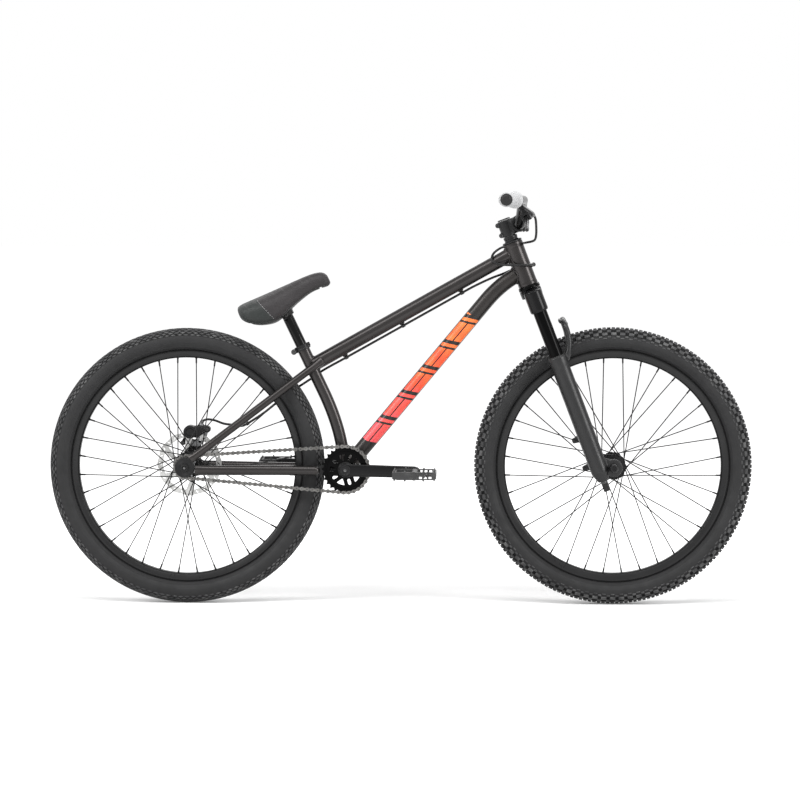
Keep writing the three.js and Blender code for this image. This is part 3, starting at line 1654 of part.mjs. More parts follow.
// Brake hose from that ring down the top tube, and from there along the left seatstay to the caliper,
// the second list from the rear axle
const rearHosePoints = [
  [12.18, 0.15, 50.59],
  [12.18, 4.8, 50.59],
  [7.78, 14, 50.19],
  [-2.22, 25.5, 47.69],
  [-19.22, 30.5, 43.69],
  [-40.22, 28, 36.69],
  [-62.22, 16, 27.69],
  [-89.22, 5, 17.69],
  [-126.22, 0.5, 0.69],
  [-163.22, 0, -19.21],
  [-258.22, 0, -72.41],
  [-353.22, 0, -125.61],
  [-447.22, 0, -178.21],
];
const stayHosePoints = [
  [353.75, 3, 245.5],
  [327.75, 17, 230],
  [304.75, 24, 213.5],
  [279.75, 26, 197],
  [258.75, 33, 183],
  [217.75, 41, 152.5],
  [183.75, 46, 125.5],
  [143.75, 50, 99.5],
  [127.75, 50, 93.5],
  [105.75, 48, 96.5],
  [84.75, 47, 105.5],
  [61.75, 49, 115],
  [43.75, 51.5, 116.5],
  [33.75, 52, 111.5],
  [30.75, 52, 104.5],
  [30.05, 52, 100.4],
];

function placesFrom(origin, points) {
  return points.map(([x, y, z]) => origin.clone().add(point(x, y, z)));
}

const frontHose = placesFrom(headFoot, frontHosePoints);
const rearHose = [...placesFrom(headFoot, rearHosePoints), ...placesFrom(rearAxle, stayHosePoints)];
named('brake_hose_front', tube(frontHose, hoseRadius, hoseSides), plastic, bike);
named('brake_hose_rear', tube(rearHose, hoseRadius, hoseSides), plastic, bike);

export default bike;
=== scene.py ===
import math

import bmesh
import bpy
from mathutils import Matrix, Vector
from mathutils.bvhtree import BVHTree
from mathutils.geometry import tessellate_polygon


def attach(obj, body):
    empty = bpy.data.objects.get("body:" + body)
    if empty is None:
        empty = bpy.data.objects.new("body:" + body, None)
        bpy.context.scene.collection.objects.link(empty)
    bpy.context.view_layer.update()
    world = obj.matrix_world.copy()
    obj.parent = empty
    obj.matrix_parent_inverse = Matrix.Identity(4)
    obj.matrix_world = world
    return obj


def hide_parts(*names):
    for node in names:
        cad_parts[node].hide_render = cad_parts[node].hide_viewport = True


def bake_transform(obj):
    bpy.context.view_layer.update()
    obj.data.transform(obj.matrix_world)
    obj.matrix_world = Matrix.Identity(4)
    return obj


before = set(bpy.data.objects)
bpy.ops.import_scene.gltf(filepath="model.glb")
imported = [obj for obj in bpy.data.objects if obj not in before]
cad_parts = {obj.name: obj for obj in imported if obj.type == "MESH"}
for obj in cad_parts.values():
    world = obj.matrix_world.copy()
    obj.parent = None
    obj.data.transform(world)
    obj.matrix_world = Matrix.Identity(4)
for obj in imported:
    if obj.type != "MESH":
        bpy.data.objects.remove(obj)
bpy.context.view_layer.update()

# Everything below is built in millimetres and written in metres
MM = 0.001
TURN = math.tau
DEGREE = math.pi / 180
CROSSWISE = Vector((0, 1, 0))
FORWARD = Vector((1, 0, 0))
UPWARD = Vector((0, 0, 1))

# Where a plate drawn as [x, z] lies across the bike, its thickness running to the right
PLATE = Matrix(((1, 0, 0, 0), (0, 0, -1, 0), (0, 1, 0, 0), (0, 0, 0, 1)))


def side(x, z):
    return Vector((x, 0, z))


def slope(angle):
    """The direction in the bike's plane at an angle in degrees."""
    return side(math.cos(angle * DEGREE), math.sin(angle * DEGREE))


def basis(origin, axis, ahead=None):
    """Places something built along Z so that it runs along an axis."""
    up = Vector(axis).normalized()
    if ahead is None:
        ahead = CROSSWISE if abs(up.y) < 0.7 else FORWARD
    first = (ahead - up * ahead.dot(up)).normalized()
    second = up.cross(first)
    placed = Matrix((first, second, up)).transposed().to_4x4()
    placed.translation = origin
    return placed


# Forms: each function gives points and faces

def skin(rings, loop=False):
    """The faces between rings that have the same count of points."""
    count = len(rings[0])
    points = [point for ring in rings for point in ring]
    faces = []
    for r in range(len(rings) if loop else len(rings) - 1):
        here = r * count
        there = (r + 1) % len(rings) * count
        for i in range(count):
            j = (i + 1) % count
            faces.append((here + i, here + j, there + j, there + i))
    if not loop:
        faces.append(tuple(range(count - 1, -1, -1)))
        faces.append(tuple(range(len(points) - count, len(points))))
    return points, faces


def lathe(profile, sides):
    """A profile of (radius, height) turned round Z, joined end to start where these are the same."""
    loop = Vector(profile[0]) == Vector(profile[-1])
    rings = []
    for radius, height in profile[:-1] if loop else profile:
        rings.append([Vector((x, y, height)) for x, y in circle(radius, sides)])
    return skin(rings, loop)


def eased(corners, radius, closed=False, steps=3):
    """A line with rounded corners, each no wider than half of its shorter side."""
    line = []
    count = len(corners)
    for i, corner in enumerate(corners):
        if not closed and i in (0, count - 1):
            line.append(tuple(corner))
            continue
        here = Vector(corner)
        back = Vector(corners[i - 1]) - here
        on = Vector(corners[(i + 1) % count]) - here
        reach = min(radius, back.length * 0.49, on.length * 0.49)
        start = here + back.normalized() * reach
        end = here + on.normalized() * reach
        for k in range(steps + 1):
            t = k / steps
            line.append(tuple(start * (1 - t) ** 2 + here * (2 * t * (1 - t)) + end * t ** 2))
    return line


def polar(radius, angle, x=0.0, y=0.0):
    return x + radius * math.cos(angle), y + radius * math.sin(angle)


def circle(radius, sides, x=0.0, y=0.0):
    return [polar(radius, TURN * i / sides, x, y) for i in range(sides)]


def rippled(radius, swing, waves, sides):
    """A round outline whose edge swings in and out."""
    angles = [TURN * i / sides for i in range(sides)]
    return [polar(radius + swing * math.cos(waves * angle), angle) for angle in angles]


def arc(radius, start, end, steps, x=0.0, y=0.0):
    return [polar(radius, start + (end - start) * i / steps, x, y) for i in range(steps + 1)]


def bulged(value, power):
    """A sine or cosine raised so that the round that it draws comes closer to a box."""
    return math.copysign(abs(value) ** power, value)


def boxy_ring(sides, across_power, up_power):
    """The shares across and up, from -1 to 1, of the points of a round that comes close to a box."""
    angles = [TURN * k / sides for k in range(sides)]
    return [(bulged(math.cos(angle), across_power), bulged(math.sin(angle), up_power)) for angle in angles]


def wound(ring, inward):
    """The ring in the order that keeps the solid on its left."""
    area = sum(a[0] * b[1] - b[0] * a[1] for a, b in zip(ring, ring[1:] + ring[:1]))
    return ring[::-1] if (area > 0) == inward else ring


def drawn_in(ring, distance):
    moved = []
    count = len(ring)
    for i in range(count):
        before = Vector(ring[i - 1])
        here = Vector(ring[i])
        after = Vector(ring[(i + 1) % count])
        first = (here - before).normalized()
        second = (after - here).normalized()
        bisector = Vector((-first.y - second.y, first.x + second.x))
        if bisector.length < 1e-6:
            bisector = Vector((-first.y, first.x))
        bisector.normalize()
        share = max(bisector.dot(Vector((-first.y, first.x))), 0.5)
        moved.append(here + bisector * (distance / share))
    return [(p.x, p.y) for p in moved]


def slab(outline, low, high, holes=(), ease=0.4):
    """A plate between two heights, with its edges broken."""
    rings = [wound(list(outline), False)] + [wound(list(hole), True) for hole in holes]
    points = []
    faces = []
    bottoms = []
    tops = []
    shrunk = []
    for ring in rings:
        count = len(ring)
        inner = drawn_in(ring, ease)
        shrunk.append([Vector((*place, 0)) for place in inner])
        start = len(points)
        for line, height in ((inner, low), (ring, low + ease), (ring, high - ease), (inner, high)):
            points.extend(Vector((x, y, height)) for x, y in line)
        for level in range(3):
            for i in range(count):
                here = start + level * count
                j = (i + 1) % count
                faces.append((here + i, here + j, here + count + j, here + count + i))
        bottoms.extend(range(start, start + count))
        tops.extend(range(start + 3 * count, start + 4 * count))
    for triangle in tessellate_polygon(shrunk):
        faces.append(tuple(tops[i] for i in triangle))
        faces.append(tuple(bottoms[i] for i in reversed(triangle)))
    return points, faces


def block(low, high, ease=1.0):
    """A box with rounded upright edges and broken level ones."""
    outline = [(low[0], low[1]), (high[0], low[1]), (high[0], high[1]), (low[0], high[1])]
    return slab(eased(outline, ease * 1.5, closed=True), low[2], high[2], ease=ease * 0.6)


def spline(points, steps):
    """A smooth line through points."""
    ends = [points[0] * 2 - points[1], *points, points[-1] * 2 - points[-2]]
    line = []
    for a, b, c, d in zip(ends, ends[1:], ends[2:], ends[3:]):
        for k in range(steps):
            t = k / steps
            bent = b * 2 + (c - a) * t + (a * 2 - b * 5 + c * 4 - d) * t ** 2
            line.append((bent + (b * 3 - a - c * 3 + d) * t ** 3) * 0.5)
    line.append(points[-1].copy())
    return line


def sweep(line, radius, sides=16, loop=False):
    """A tube along a line. The radius is a number, or gives one or two radii for a share of the line."""
    count = len(line)
    tangents = []
    for i in range(count):
        before = line[i - 1] if i or loop else line[0]
        after = line[(i + 1) % count] if i + 1 < count or loop else line[-1]
        tangents.append((after - before).normalized())
    reference = CROSSWISE if abs(tangents[0].y) < 0.8 else FORWARD
    rings = []
    for i, place in enumerate(line):
        along = tangents[i]
        reference = (reference - along * reference.dot(along)).normalized()
        third = along.cross(reference)
        size = radius(i / (count - 1)) if callable(radius) else radius
        wide, tall = size if isinstance(size, tuple) else (size, size)
        ring = []
        for k in range(sides):
            angle = TURN * k / sides
            ring.append(place + reference * (wide * math.cos(angle)) + third * (tall * math.sin(angle)))
        rings.append(ring)
    return skin(rings, loop)


def placed(form, place):
    points, faces = form
    return [place @ point for point in points], faces


def spun(corners, rounding, sides, steps=3):
    """An open or closed profile with rounded corners, turned round Z."""
    return lathe(eased(corners, rounding, steps=steps), sides)


def band_profile(inner, outer, low, high):
    """The section of a ring as a closed profile."""
    return [(inner, low), (outer, low), (outer, high), (inner, high), (inner, low)]


def collar(inner, outer, low, high, rounding, sides):
    return spun(band_profile(inner, outer, low, high), rounding, sides)


def spoke_way(angle):
    """The direction from an axle at an angle in the bike's plane."""
    return side(math.cos(angle), math.sin(angle))


def rod(start, end, radius, end_radius=None, sides=32, ease=0.5):
    """A round bar between two points, with its end edges broken."""
    along = Vector(end) - Vector(start)
    last = radius if end_radius is None else end_radius
    bar = spun([(0, 0), (radius, 0), (last, along.length), (0, along.length)], ease, sides, 2)
    return placed(bar, basis(start, along))


def upright(corners, rounding, low, high, ease):
    """A plate drawn as [x, z] with rounded corners, between two places across the bike."""
    return placed(slab(eased(corners, rounding, closed=True), -high, -low, ease=ease), PLATE)


def on_side(hand, near, far):
    """Two distances from the mid-plane on one side, as low and high y."""
    return sorted((hand * near, hand * far))


def box_mesh(name, points, faces):
    mesh = bpy.data.meshes.new(name)
    mesh.from_pydata(points, [], faces)
    return mesh


def in_scene(name, data):
    made = bpy.data.objects.new(name, data)
    bpy.context.scene.collection.objects.link(made)
    return made


def evaluated(holder):
    """The points and faces of an object with its modifiers applied."""
    solid = holder.evaluated_get(bpy.context.evaluated_depsgraph_get()).to_mesh()
    return [v.co.copy() for v in solid.vertices], [tuple(f.vertices) for f in solid.polygons]


def boxed(low, high):
    """Eight points and six faces of a box, a tool for cutting."""
    xs, ys, zs = zip(low, high)
    points = [Vector((x, y, z)) for x in xs for y in ys for z in zs]
    faces = [(0, 1, 3, 2), (4, 6, 7, 5), (0, 4, 5, 1), (2, 3, 7, 6), (0, 2, 6, 4), (1, 5, 7, 3)]
    return points, faces


def fused(forms, voxel, smoothing):
    """One skin round several closed forms with softened inner corners, as on a forging or a casting."""
    points = []
    faces = []
    for some_points, some_faces in forms:
        start = len(points)
        points.extend(some_points)
        faces.extend(tuple(start + i for i in face) for face in some_faces)
    holder = in_scene("fusing", box_mesh("fusing", points, faces))
    remesh = holder.modifiers.new("Remesh", "REMESH")
    remesh.mode = "VOXEL"
    remesh.voxel_size = voxel
    relax = holder.modifiers.new("Smooth", "SMOOTH")
    relax.factor = 0.5
    relax.iterations = smoothing
    made = evaluated(holder)
    bpy.data.objects.remove(holder)
    return made


class Shape:
    """Forms of one or more materials that become one piece."""

    def __init__(self):
        self.points = []
        self.faces = []
        self.finishes = []
        self.indices = []

    def add(self, form, material, place=None):
        points, faces = form if place is None else placed(form, place)
        start = len(self.points)
        self.points.extend(points)
        self.faces.extend(tuple(start + i for i in face) for face in faces)
        if material not in self.finishes:
            self.finishes.append(material)
        self.indices.extend([self.finishes.index(material)] * len(faces))
        return self

    def turned(self, profile, material, origin, axis=CROSSWISE, sides=64):
        return self.add(lathe(profile, sides), material, basis(origin, axis))

    def plate(self, outline, from_y, to_y, material, origin, holes=(), ease=0.4, angle=0.0):
        place = Matrix.Translation(origin) @ Matrix.Rotation(angle * DEGREE, 4, "Y") @ PLATE
        return self.add(slab(outline, -to_y, -from_y, holes, ease), material, place)

    def piece(self, name, body, nodes=(), slot="black_metal", crease=32):
        """Makes the Blender piece: smooth, with its sharper edges kept."""
        mesh = box_mesh(name, [point * MM for point in self.points], self.faces)
        for material in self.finishes:
            mesh.materials.append(material)
        mesh.polygons.foreach_set("material_index", self.indices)
        work = bmesh.new()
        work.from_mesh(mesh)
        bmesh.ops.remove_doubles(work, verts=work.verts, dist=MM / 500)
        bmesh.ops.dissolve_degenerate(work, edges=work.edges, dist=MM / 500)
        bmesh.ops.recalc_face_normals(work, faces=work.faces)
        work.to_mesh(mesh)
        work.free()
        mesh.shade_smooth()
        mesh.set_sharp_from_angle(angle=crease * DEGREE)
        made = in_scene(name, mesh)
        if body:
            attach(made, body)
        if nodes:
            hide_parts(*nodes)
        return made


# Materials

class Look:
    """A material's nodes, with short ways to add and join them."""

    def __init__(self, name):
        self.material = bpy.data.materials.new(name)
        self.material.use_nodes = True
        self.tree = self.material.node_tree
        self.shader = self.tree.nodes["Principled BSDF"]
        self.place = self.add("ShaderNodeTexCoord").outputs["Object"]

    def add(self, kind, **settings):
        made = self.tree.nodes.new(kind)
        for key, value in settings.items():
            setattr(made, key, value)
        return made

    def join(self, source, target):
        self.tree.links.new(source, target)

    def put(self, name, source):
        """Sets one of the shader's inputs to a value or joins a node to it."""
        socket = self.shader.inputs[name]
        if isinstance(source, (int, float, tuple)):
            socket.default_value = source
        else:
            self.join(source, socket)

    def noise(self, scale, detail, stretch=(1, 1, 1)):
        mapping = self.add("ShaderNodeMapping")
        mapping.inputs["Scale"].default_value = stretch
        self.join(self.place, mapping.inputs["Vector"])
        made = self.add("ShaderNodeTexNoise")
        made.inputs["Scale"].default_value = scale
        made.inputs["Detail"].default_value = detail
        self.join(mapping.outputs["Vector"], made.inputs["Vector"])
        return made.outputs["Fac"]

    def measured(self, origin, direction):
        """How far a point of the surface lies from an origin along a direction, in millimetres."""
        moved = self.add("ShaderNodeVectorMath", operation="SUBTRACT")
        moved.inputs[1].default_value = origin * MM
        self.join(self.place, moved.inputs[0])
        dot = self.add("ShaderNodeVectorMath", operation="DOT_PRODUCT")
        self.join(moved.outputs["Vector"], dot.inputs[0])
        dot.inputs[1].default_value = direction / MM
        return dot.outputs["Value"]

    def ranged(self, source, low, high, start=0.3, end=0.7):
        made = self.add("ShaderNodeMapRange")
        for key, value in (("From Min", start), ("From Max", end), ("To Min", low), ("To Max", high)):
            made.inputs[key].default_value = value
        self.join(source, made.inputs["Value"])
        return made.outputs["Result"]

    def maths(self, operation, first, second=None):
        made = self.add("ShaderNodeMath", operation=operation)
        for value, socket in zip((first, second), made.inputs):
            if value is None:
                continue
            if isinstance(value, (int, float)):
                socket.default_value = value
            else:
                self.join(value, socket)
        return made.outputs[0]

    def mixed(self, share, first, second):
        made = self.add("ShaderNodeMix", data_type="RGBA")
        self.join(share, made.inputs["Factor"])
        for value, name in ((first, "A_Color"), (second, "B_Color")):
            socket = next(s for s in made.inputs if s.identifier == name)
            if isinstance(value, tuple):
                socket.default_value = (*value, 1)
            else:
                self.join(value, socket)
        return next(s for s in made.outputs if s.identifier == "Result_Color")

    def bump(self, source, strength, depth, under=None):
        made = self.add("ShaderNodeBump")
        made.inputs["Strength"].default_value = strength
        made.inputs["Distance"].default_value = depth * MM
        self.join(source, made.inputs["Height"])
        if under is not None:
            self.join(under, made.inputs["Normal"])
        return made.outputs["Normal"]

    def edges(self):
        """Where the surface turns outward sharply, from 0 to 1."""
        return self.ranged(self.add("ShaderNodeNewGeometry").outputs["Pointiness"], 0, 1, 0.52, 0.6)

    def product(self, first, *others):
        for other in others:
            first = self.maths("MULTIPLY", first, other)
        return first


def shaded(colour, factor):
    return tuple(min(channel * factor, 1) for channel in colour)


def finish(
    name, colour, rough, metal, vary, grain, depth, uneven=0.06, specular=0.5, edge_wear_and_highlight=None, stretch=(1, 1, 1)
):
    """A finish with cloudy colour, uneven gloss, a fine grain and edges painted lighter: worn edges, and on
    the tyre's knobs a painted highlight.
    """
    look = Look(name)
    cloud = look.ranged(look.noise(14, 4), 0, 1)
    speck = look.ranged(look.noise(grain, 2, stretch), 0, 1)
    base = look.mixed(cloud, shaded(colour, 1 - vary), shaded(colour, 1 + vary))
    base = look.mixed(look.maths("MULTIPLY", speck, 0.5), base, shaded(colour, 1 + vary * 1.6))
    if edge_wear_and_highlight is not None:
        rubbed_and_lit = look.maths("MULTIPLY", look.edges(), look.ranged(look.noise(60, 4), 0, 0.8, 0.45, 0.7))
        base = look.mixed(rubbed_and_lit, base, edge_wear_and_highlight)
    look.put("Base Color", base)
    look.put("Roughness", look.ranged(look.noise(45, 5), rough - uneven, rough + uneven))
    look.put("Normal", look.bump(speck, 0.5, depth))
    look.put("Metallic", metal)
    look.put("Specular IOR Level", specular)
    return look.material


# Each finish: name, colour, roughness, metal, the share by which its colour varies, its grain's scale and
# depth in millimetres, then how much its roughness varies and its specular level
frame_paint = finish(
    "frame_paint", (0.036, 0.0335, 0.033), 0.25, 0.75, 0.1, 2600, 0.002, 0.03, 0.3, edge_wear_and_highlight=(0.05, 0.046, 0.043)
)
satin_black = finish(
    "satin_black", (0.009, 0.009, 0.0094), 0.34, 0, 0.2, 1500, 0.008, 0.06, 0.22, edge_wear_and_highlight=(0.035, 0.035, 0.036)
)
crank_black = finish(
    "crank_black", (0.005, 0.005, 0.0053), 0.18, 0, 0.15, 1800, 0.002, 0.04, 0.16, edge_wear_and_highlight=(0.03, 0.03, 0.03)
)
gloss_black = finish("gloss_black", (0.0015, 0.0015, 0.0016), 0.12, 0, 0.1, 700, 0.001, 0.02, 0.06)
post_black = finish(
    "post_black", (0.002, 0.002, 0.0021), 0.18, 0, 0.12, 900, 0.001, 0.04, 0.16, stretch=(1, 1, 0.1)
)
lowers_black = finish(
    "lowers_black", (0.013, 0.013, 0.0135), 0.34, 0, 0.15, 2000, 0.008, 0.06, 0.32, edge_wear_and_highlight=(0.035, 0.035, 0.035)
)
rim_black = finish(
    "rim_black", (0.003, 0.003, 0.0032), 0.3, 0, 0.18, 1800, 0.004, specular=0.12, edge_wear_and_highlight=(0.02, 0.02, 0.02)
)
tyre_rubber = finish("tyre_rubber", (0.014, 0.014, 0.0145), 0.66, 0, 0.2, 1600, 0.03, 0.08, 0.3)
# The knobs' edges are painted much lighter: a painted highlight
tread_rubber = finish(
    "tread_rubber", (0.03, 0.03, 0.031), 0.7, 0, 0.3, 900, 0.06, 0.08, 0.35, edge_wear_and_highlight=(0.12, 0.12, 0.12)
)
tread_floor = finish("tread_floor", (0.012, 0.012, 0.0124), 0.8, 0, 0.2, 1400, 0.04, specular=0.1)
# A lighter, partly metal copy of the rim's black, painted on the rim's walls as a highlight
rim_painted_sheen = finish("rim_painted_sheen", (0.013, 0.013, 0.0134), 0.3, 0.4, 0.15, 1500, 0.006, specular=0.35)
spoke_black = finish("spoke_black", (0.006, 0.006, 0.0063), 0.36, 0.1, 0.2, 1200, 0.005, specular=0.2)
steel = finish("bright_steel", (0.5, 0.5, 0.49), 0.3, 1, 0.12, 1200, 0.01, 0.08)
chain_steel = finish(
    "chain_steel", (0.13, 0.126, 0.12), 0.34, 1, 0.35, 1300, 0.012, 0.1, edge_wear_and_highlight=(0.26, 0.26, 0.25)
)
dark_steel = finish(
    "dark_steel", (0.06, 0.06, 0.06), 0.36, 0.8, 0.2, 1300, 0.01, 0.1, 0.3, edge_wear_and_highlight=(0.3, 0.3, 0.3)
)
grey_metal = finish(
    "grey_metal", (0.24, 0.244, 0.248), 0.36, 0.9, 0.12, 1500, 0.01, 0.08, edge_wear_and_highlight=(0.4, 0.4, 0.4)
)
grip_rubber = finish("grip_rubber", (0.46, 0.463, 0.467), 0.7, 0, 0.05, 900, 0.01, specular=0.2)
hard_plastic = finish("hard_plastic", (0.01, 0.01, 0.01), 0.5, 0, 0.15, 1700, 0.03, specular=0.3)
pedal_black = finish(
    "pedal_black", (0.024, 0.024, 0.0245), 0.42, 0, 0.2, 1400, 0.03, specular=0.4, edge_wear_and_highlight=(0.09, 0.09, 0.09)
)
hose_rubber = finish("hose_rubber", (0.006, 0.006, 0.0062), 0.4, 0, 0.15, 1400, 0.01, 0.05, 0.3)

# Main points of the bike, as in the part's source
HANDS = {"right": -1, "left": 1}
REAR = side(-521.75, 337.5)
FRONT = side(520.25, 339)
BRACKET = side(-131.089, 332)
HEAD_ANGLE = 69.2
HEAD_UP = slope(180 - HEAD_ANGLE)
HEAD_FORWARD = slope(90 - HEAD_ANGLE)
FORK_LENGTH = 485.6
AXLE_AHEAD = 37
HEAD_FOOT = FRONT + HEAD_UP * FORK_LENGTH - HEAD_FORWARD * AXLE_AHEAD
HEAD = basis(HEAD_FOOT, HEAD_UP, HEAD_FORWARD)

# Wheels
WHEEL_SIDES = 200
TYRE_HALF = 28.9
TYRE_HEART = 308.5
SPOKES = 36
SPOKE_HEAD = 29
FLANGE_RADIUS = 32.3
FLANGE_HALF = 2
FLANGE_Y = 30
REAR_FLANGE_LEFT = 31


def casing_point(crown, angle, inward=0.0):
    """A point of the tyre's section as (radius, y), at an angle in degrees from the crown to the side."""
    height = crown - TYRE_HEART - inward
    radians = angle * DEGREE
    return Vector((TYRE_HEART + height * math.cos(radians), (TYRE_HALF - inward) * math.sin(radians)))


def casing(crown):
    """The tyre's section with raised lines on its side, each at an angle and with a height and a width."""
    ridges = ((128, 0.7, 1.6), (104, 0.35, 1.2), (97, 0.35, 1.2), (66, 0.5, 1.5))
    outside = []
    for i in range(-148, 149, 2):
        lift = sum(high * math.exp(-(((abs(i) - at) / wide) ** 2)) for at, high, wide in ridges)
        outside.append(tuple(casing_point(crown, i, -lift)))
    bead = [(284.4, 13.2), (276.6, 13.2), (276.6, 10)]
    inside = [tuple(casing_point(crown, i, 3.2)) for i in range(140, -141, -20)]
    profile = outside + bead + inside + [(r, -y) for r, y in reversed(bead)]
    return profile + profile[:1]


def knob(length, width, height):
    far, wide = length / 2, width / 2
    return slab([(-far, -wide), (far, -wide), (far, wide), (-far, wide)], -1.2, height, ease=0.55)


def diamond(length, width, height):
    far, wide = length / 2, width / 2
    return slab([(-far, 0), (0, -wide), (far, 0), (0, wide)], -1.0, height, ease=0.4)


def tyre(name, body, node, axle, radius, rise, rows, count):
    """A tyre with rows of (section angle, phase, form) round it."""
    shape = Shape()
    crown = radius - rise
    shape.turned(casing(crown), tyre_rubber, axle, sides=WHEEL_SIDES)
    span = range(-66, 67, 3)
    floor_band = [tuple(casing_point(crown, i, -0.35)) for i in span]
    floor_band += [tuple(casing_point(crown, i, 0.6)) for i in reversed(span)]
    shape.turned(floor_band + floor_band[:1], tread_floor, axle, sides=WHEEL_SIDES)
    for angle, phase, form in rows:
        at = casing_point(crown, angle)
        beyond = casing_point(crown, angle, -1) - at
        for i in range(count):
            spin = Matrix.Rotation(TURN * (i + phase) / count, 4, "Y")
            place = basis((at.x, at.y, 0), (beyond.x, beyond.y, 0), UPWARD)
            shape.add(form, tread_rubber, Matrix.Translation(axle) @ spin @ place)
    return shape.piece(name, body, [node], "tyre", crease=40)


front_rows = []
for hand in HANDS.values():
    half = 0.5 if hand > 0 else 0.0
    front_rows += [
        (hand * 7.5, half, knob(8, 6.6, 3.9)),
        (hand * 25, half + 0.5, knob(8.4, 7.4, 4)),
        (hand * 42, half, knob(9.6, 7.2, 4)),
        (hand * 58, half + 0.5, knob(13, 7, 4.2)),
        (hand * 72, half, knob(8, 4.4, 1.8)),
        (hand * 80, half + 0.5, knob(9, 2.4, 1.0)),
    ]
tyre("tyre_front", "front_wheel", "front_tyre", FRONT, 338.9, 4, front_rows, 94)

rear_rows = []
for hand in HANDS.values():
    for row in range(6):
        form = diamond(14.6, 6.2, 2.3) if row < 5 else diamond(14.6, 5.2, 1.6)
        rear_rows.append((hand * (5.6 + 11.2 * row), row % 2 / 2, form))
tyre("tyre_rear", "rear_wheel", "rear_tyre", REAR, 337.4, 2.3, rear_rows, 130)


def rim(name, body, node, axle, deeper):
    """A channel for the tyre over a hollow box, with a lighter band painted on each of its slanted walls as a
    highlight.
    """
    foot, shoulder = 265.1 - deeper, 268.4 - deeper
    half = [(foot, 9.5), (shoulder, 12), (277, 15.2), (284.7, 16)]
    channel = [(267.4, 8.6), (275.3, 13.5), (284.7, 13.7)]
    section = half[::-1] + [(r, -y) for r, y in half] + [(r, -y) for r, y in reversed(channel)] + channel
    profile = eased(section, 3.2, closed=True, steps=4)
    shape = Shape().turned(profile + profile[:1], rim_black, axle, sides=WHEEL_SIDES)
    for hand in HANDS.values():
        # The lighter band on each wall is a painted highlight
        band = [(281.6, 15), (281.4, 16.2), (277, 15.9), (shoulder + 0.4, 12.7), (shoulder - 0.2, 11.4)]
        band = eased([(radius, hand * y) for radius, y in band], 0.8, closed=True)
        shape.turned(band + band[:1], rim_painted_sheen, axle, sides=WHEEL_SIDES)
    return shape.piece(name, body, [node])


rim("rim_front", "front_wheel", "front_rim", FRONT, 2)
rim("rim_rear", "rear_wheel", "rear_rim", REAR, 0)


def lacing(name, body, node, axle, hand, flange_y):
    """The spokes of one side, their heads on the two faces of the flange in turn."""
    shape = Shape()
    nipple_profile = [(0, 0), (1.7, 0), (2.1, 1.5), (2.1, 11), (2.8, 12.6), (2.8, 14.2), (0, 14.2)]
    nipple_form = spun(nipple_profile, 0.5, 10, 2)
    for k in range(1 if hand > 0 else 0, SPOKES, 2):
        trailing = k % 4 in (0, 3)
        rim_angle = TURN * (k + 0.5) / SPOKES
        hub_angle = rim_angle + (-60 if trailing else 60) * DEGREE
        lean = 3.1 if trailing else -2.9
        head = spoke_way(hub_angle) * SPOKE_HEAD + CROSSWISE * (hand * (flange_y + lean))
        end = spoke_way(rim_angle) * 264.6 + CROSSWISE * hand * 3
        along = (end - head).normalized()
        nipple = end - along * 13
        shape.add(sweep([axle + head, axle + head.lerp(nipple, 0.5), axle + nipple], 1.3, 8), spoke_black)
        shape.add(nipple_form, spoke_black, basis(axle + nipple, along))
        across = CROSSWISE * hand * (1 if trailing else -1)
        foot = axle + head + across * 0.2
        shape.add(rod(foot, foot - across * 7, 1.05, sides=8, ease=0.2), spoke_black)
        shape.add(rod(foot - across * 5.2, foot - across * 6.4, 2.0, 1.2, 10, 0.3), spoke_black)
    return shape.piece(name, body, [node], "spokes")


for label, hand in HANDS.items():
    rear_flange_y = REAR_FLANGE_LEFT if hand > 0 else FLANGE_Y
    lacing(f"spokes_front_{label}", "front_wheel", f"front_spokes_{label}", FRONT, hand, FLANGE_Y)
    lacing(f"spokes_rear_{label}", "rear_wheel", f"rear_spokes_{label}", REAR, hand, rear_flange_y)


def hub_flange(shape, axle, middle, phase):
    """A round plate whose edge bulges at each spoke hole."""
    holes = []
    for i in range(SPOKES // 2):
        holes.append(circle(1.5, 10, *polar(SPOKE_HEAD, TURN * (i / (SPOKES / 2)))))
    outline = rippled(FLANGE_RADIUS - 0.9, 0.9, SPOKES / 2, 144)
    low, high = middle - FLANGE_HALF, middle + FLANGE_HALF
    shape.plate(outline, low, high, satin_black, axle, holes, 0.5, angle=phase)


front_hub = Shape()
half_hub = [
    (7.8, 49.6), (10.8, 49.6), (10.8, 41), (14.5, 39), (17, 35), (19, 31.5), (19, 28.5), (16.5, 24),
    (13.5, 8),
]
hub_profile = [(r, -y) for r, y in half_hub] + half_hub[::-1] + [(half_hub[0][0], -half_hub[0][1])]
front_hub.turned(eased(hub_profile, 1.6), satin_black, FRONT)
hub_flange(front_hub, FRONT, -FLANGE_Y, -5)
hub_flange(front_hub, FRONT, FLANGE_Y, 5)
for at in (-44, 44):
    front_hub.turned(band_profile(8.5, 11.6, at - 1, at + 1), dark_steel, FRONT)
front_hub.piece("hub_front", "front_wheel", ["front_hub"])

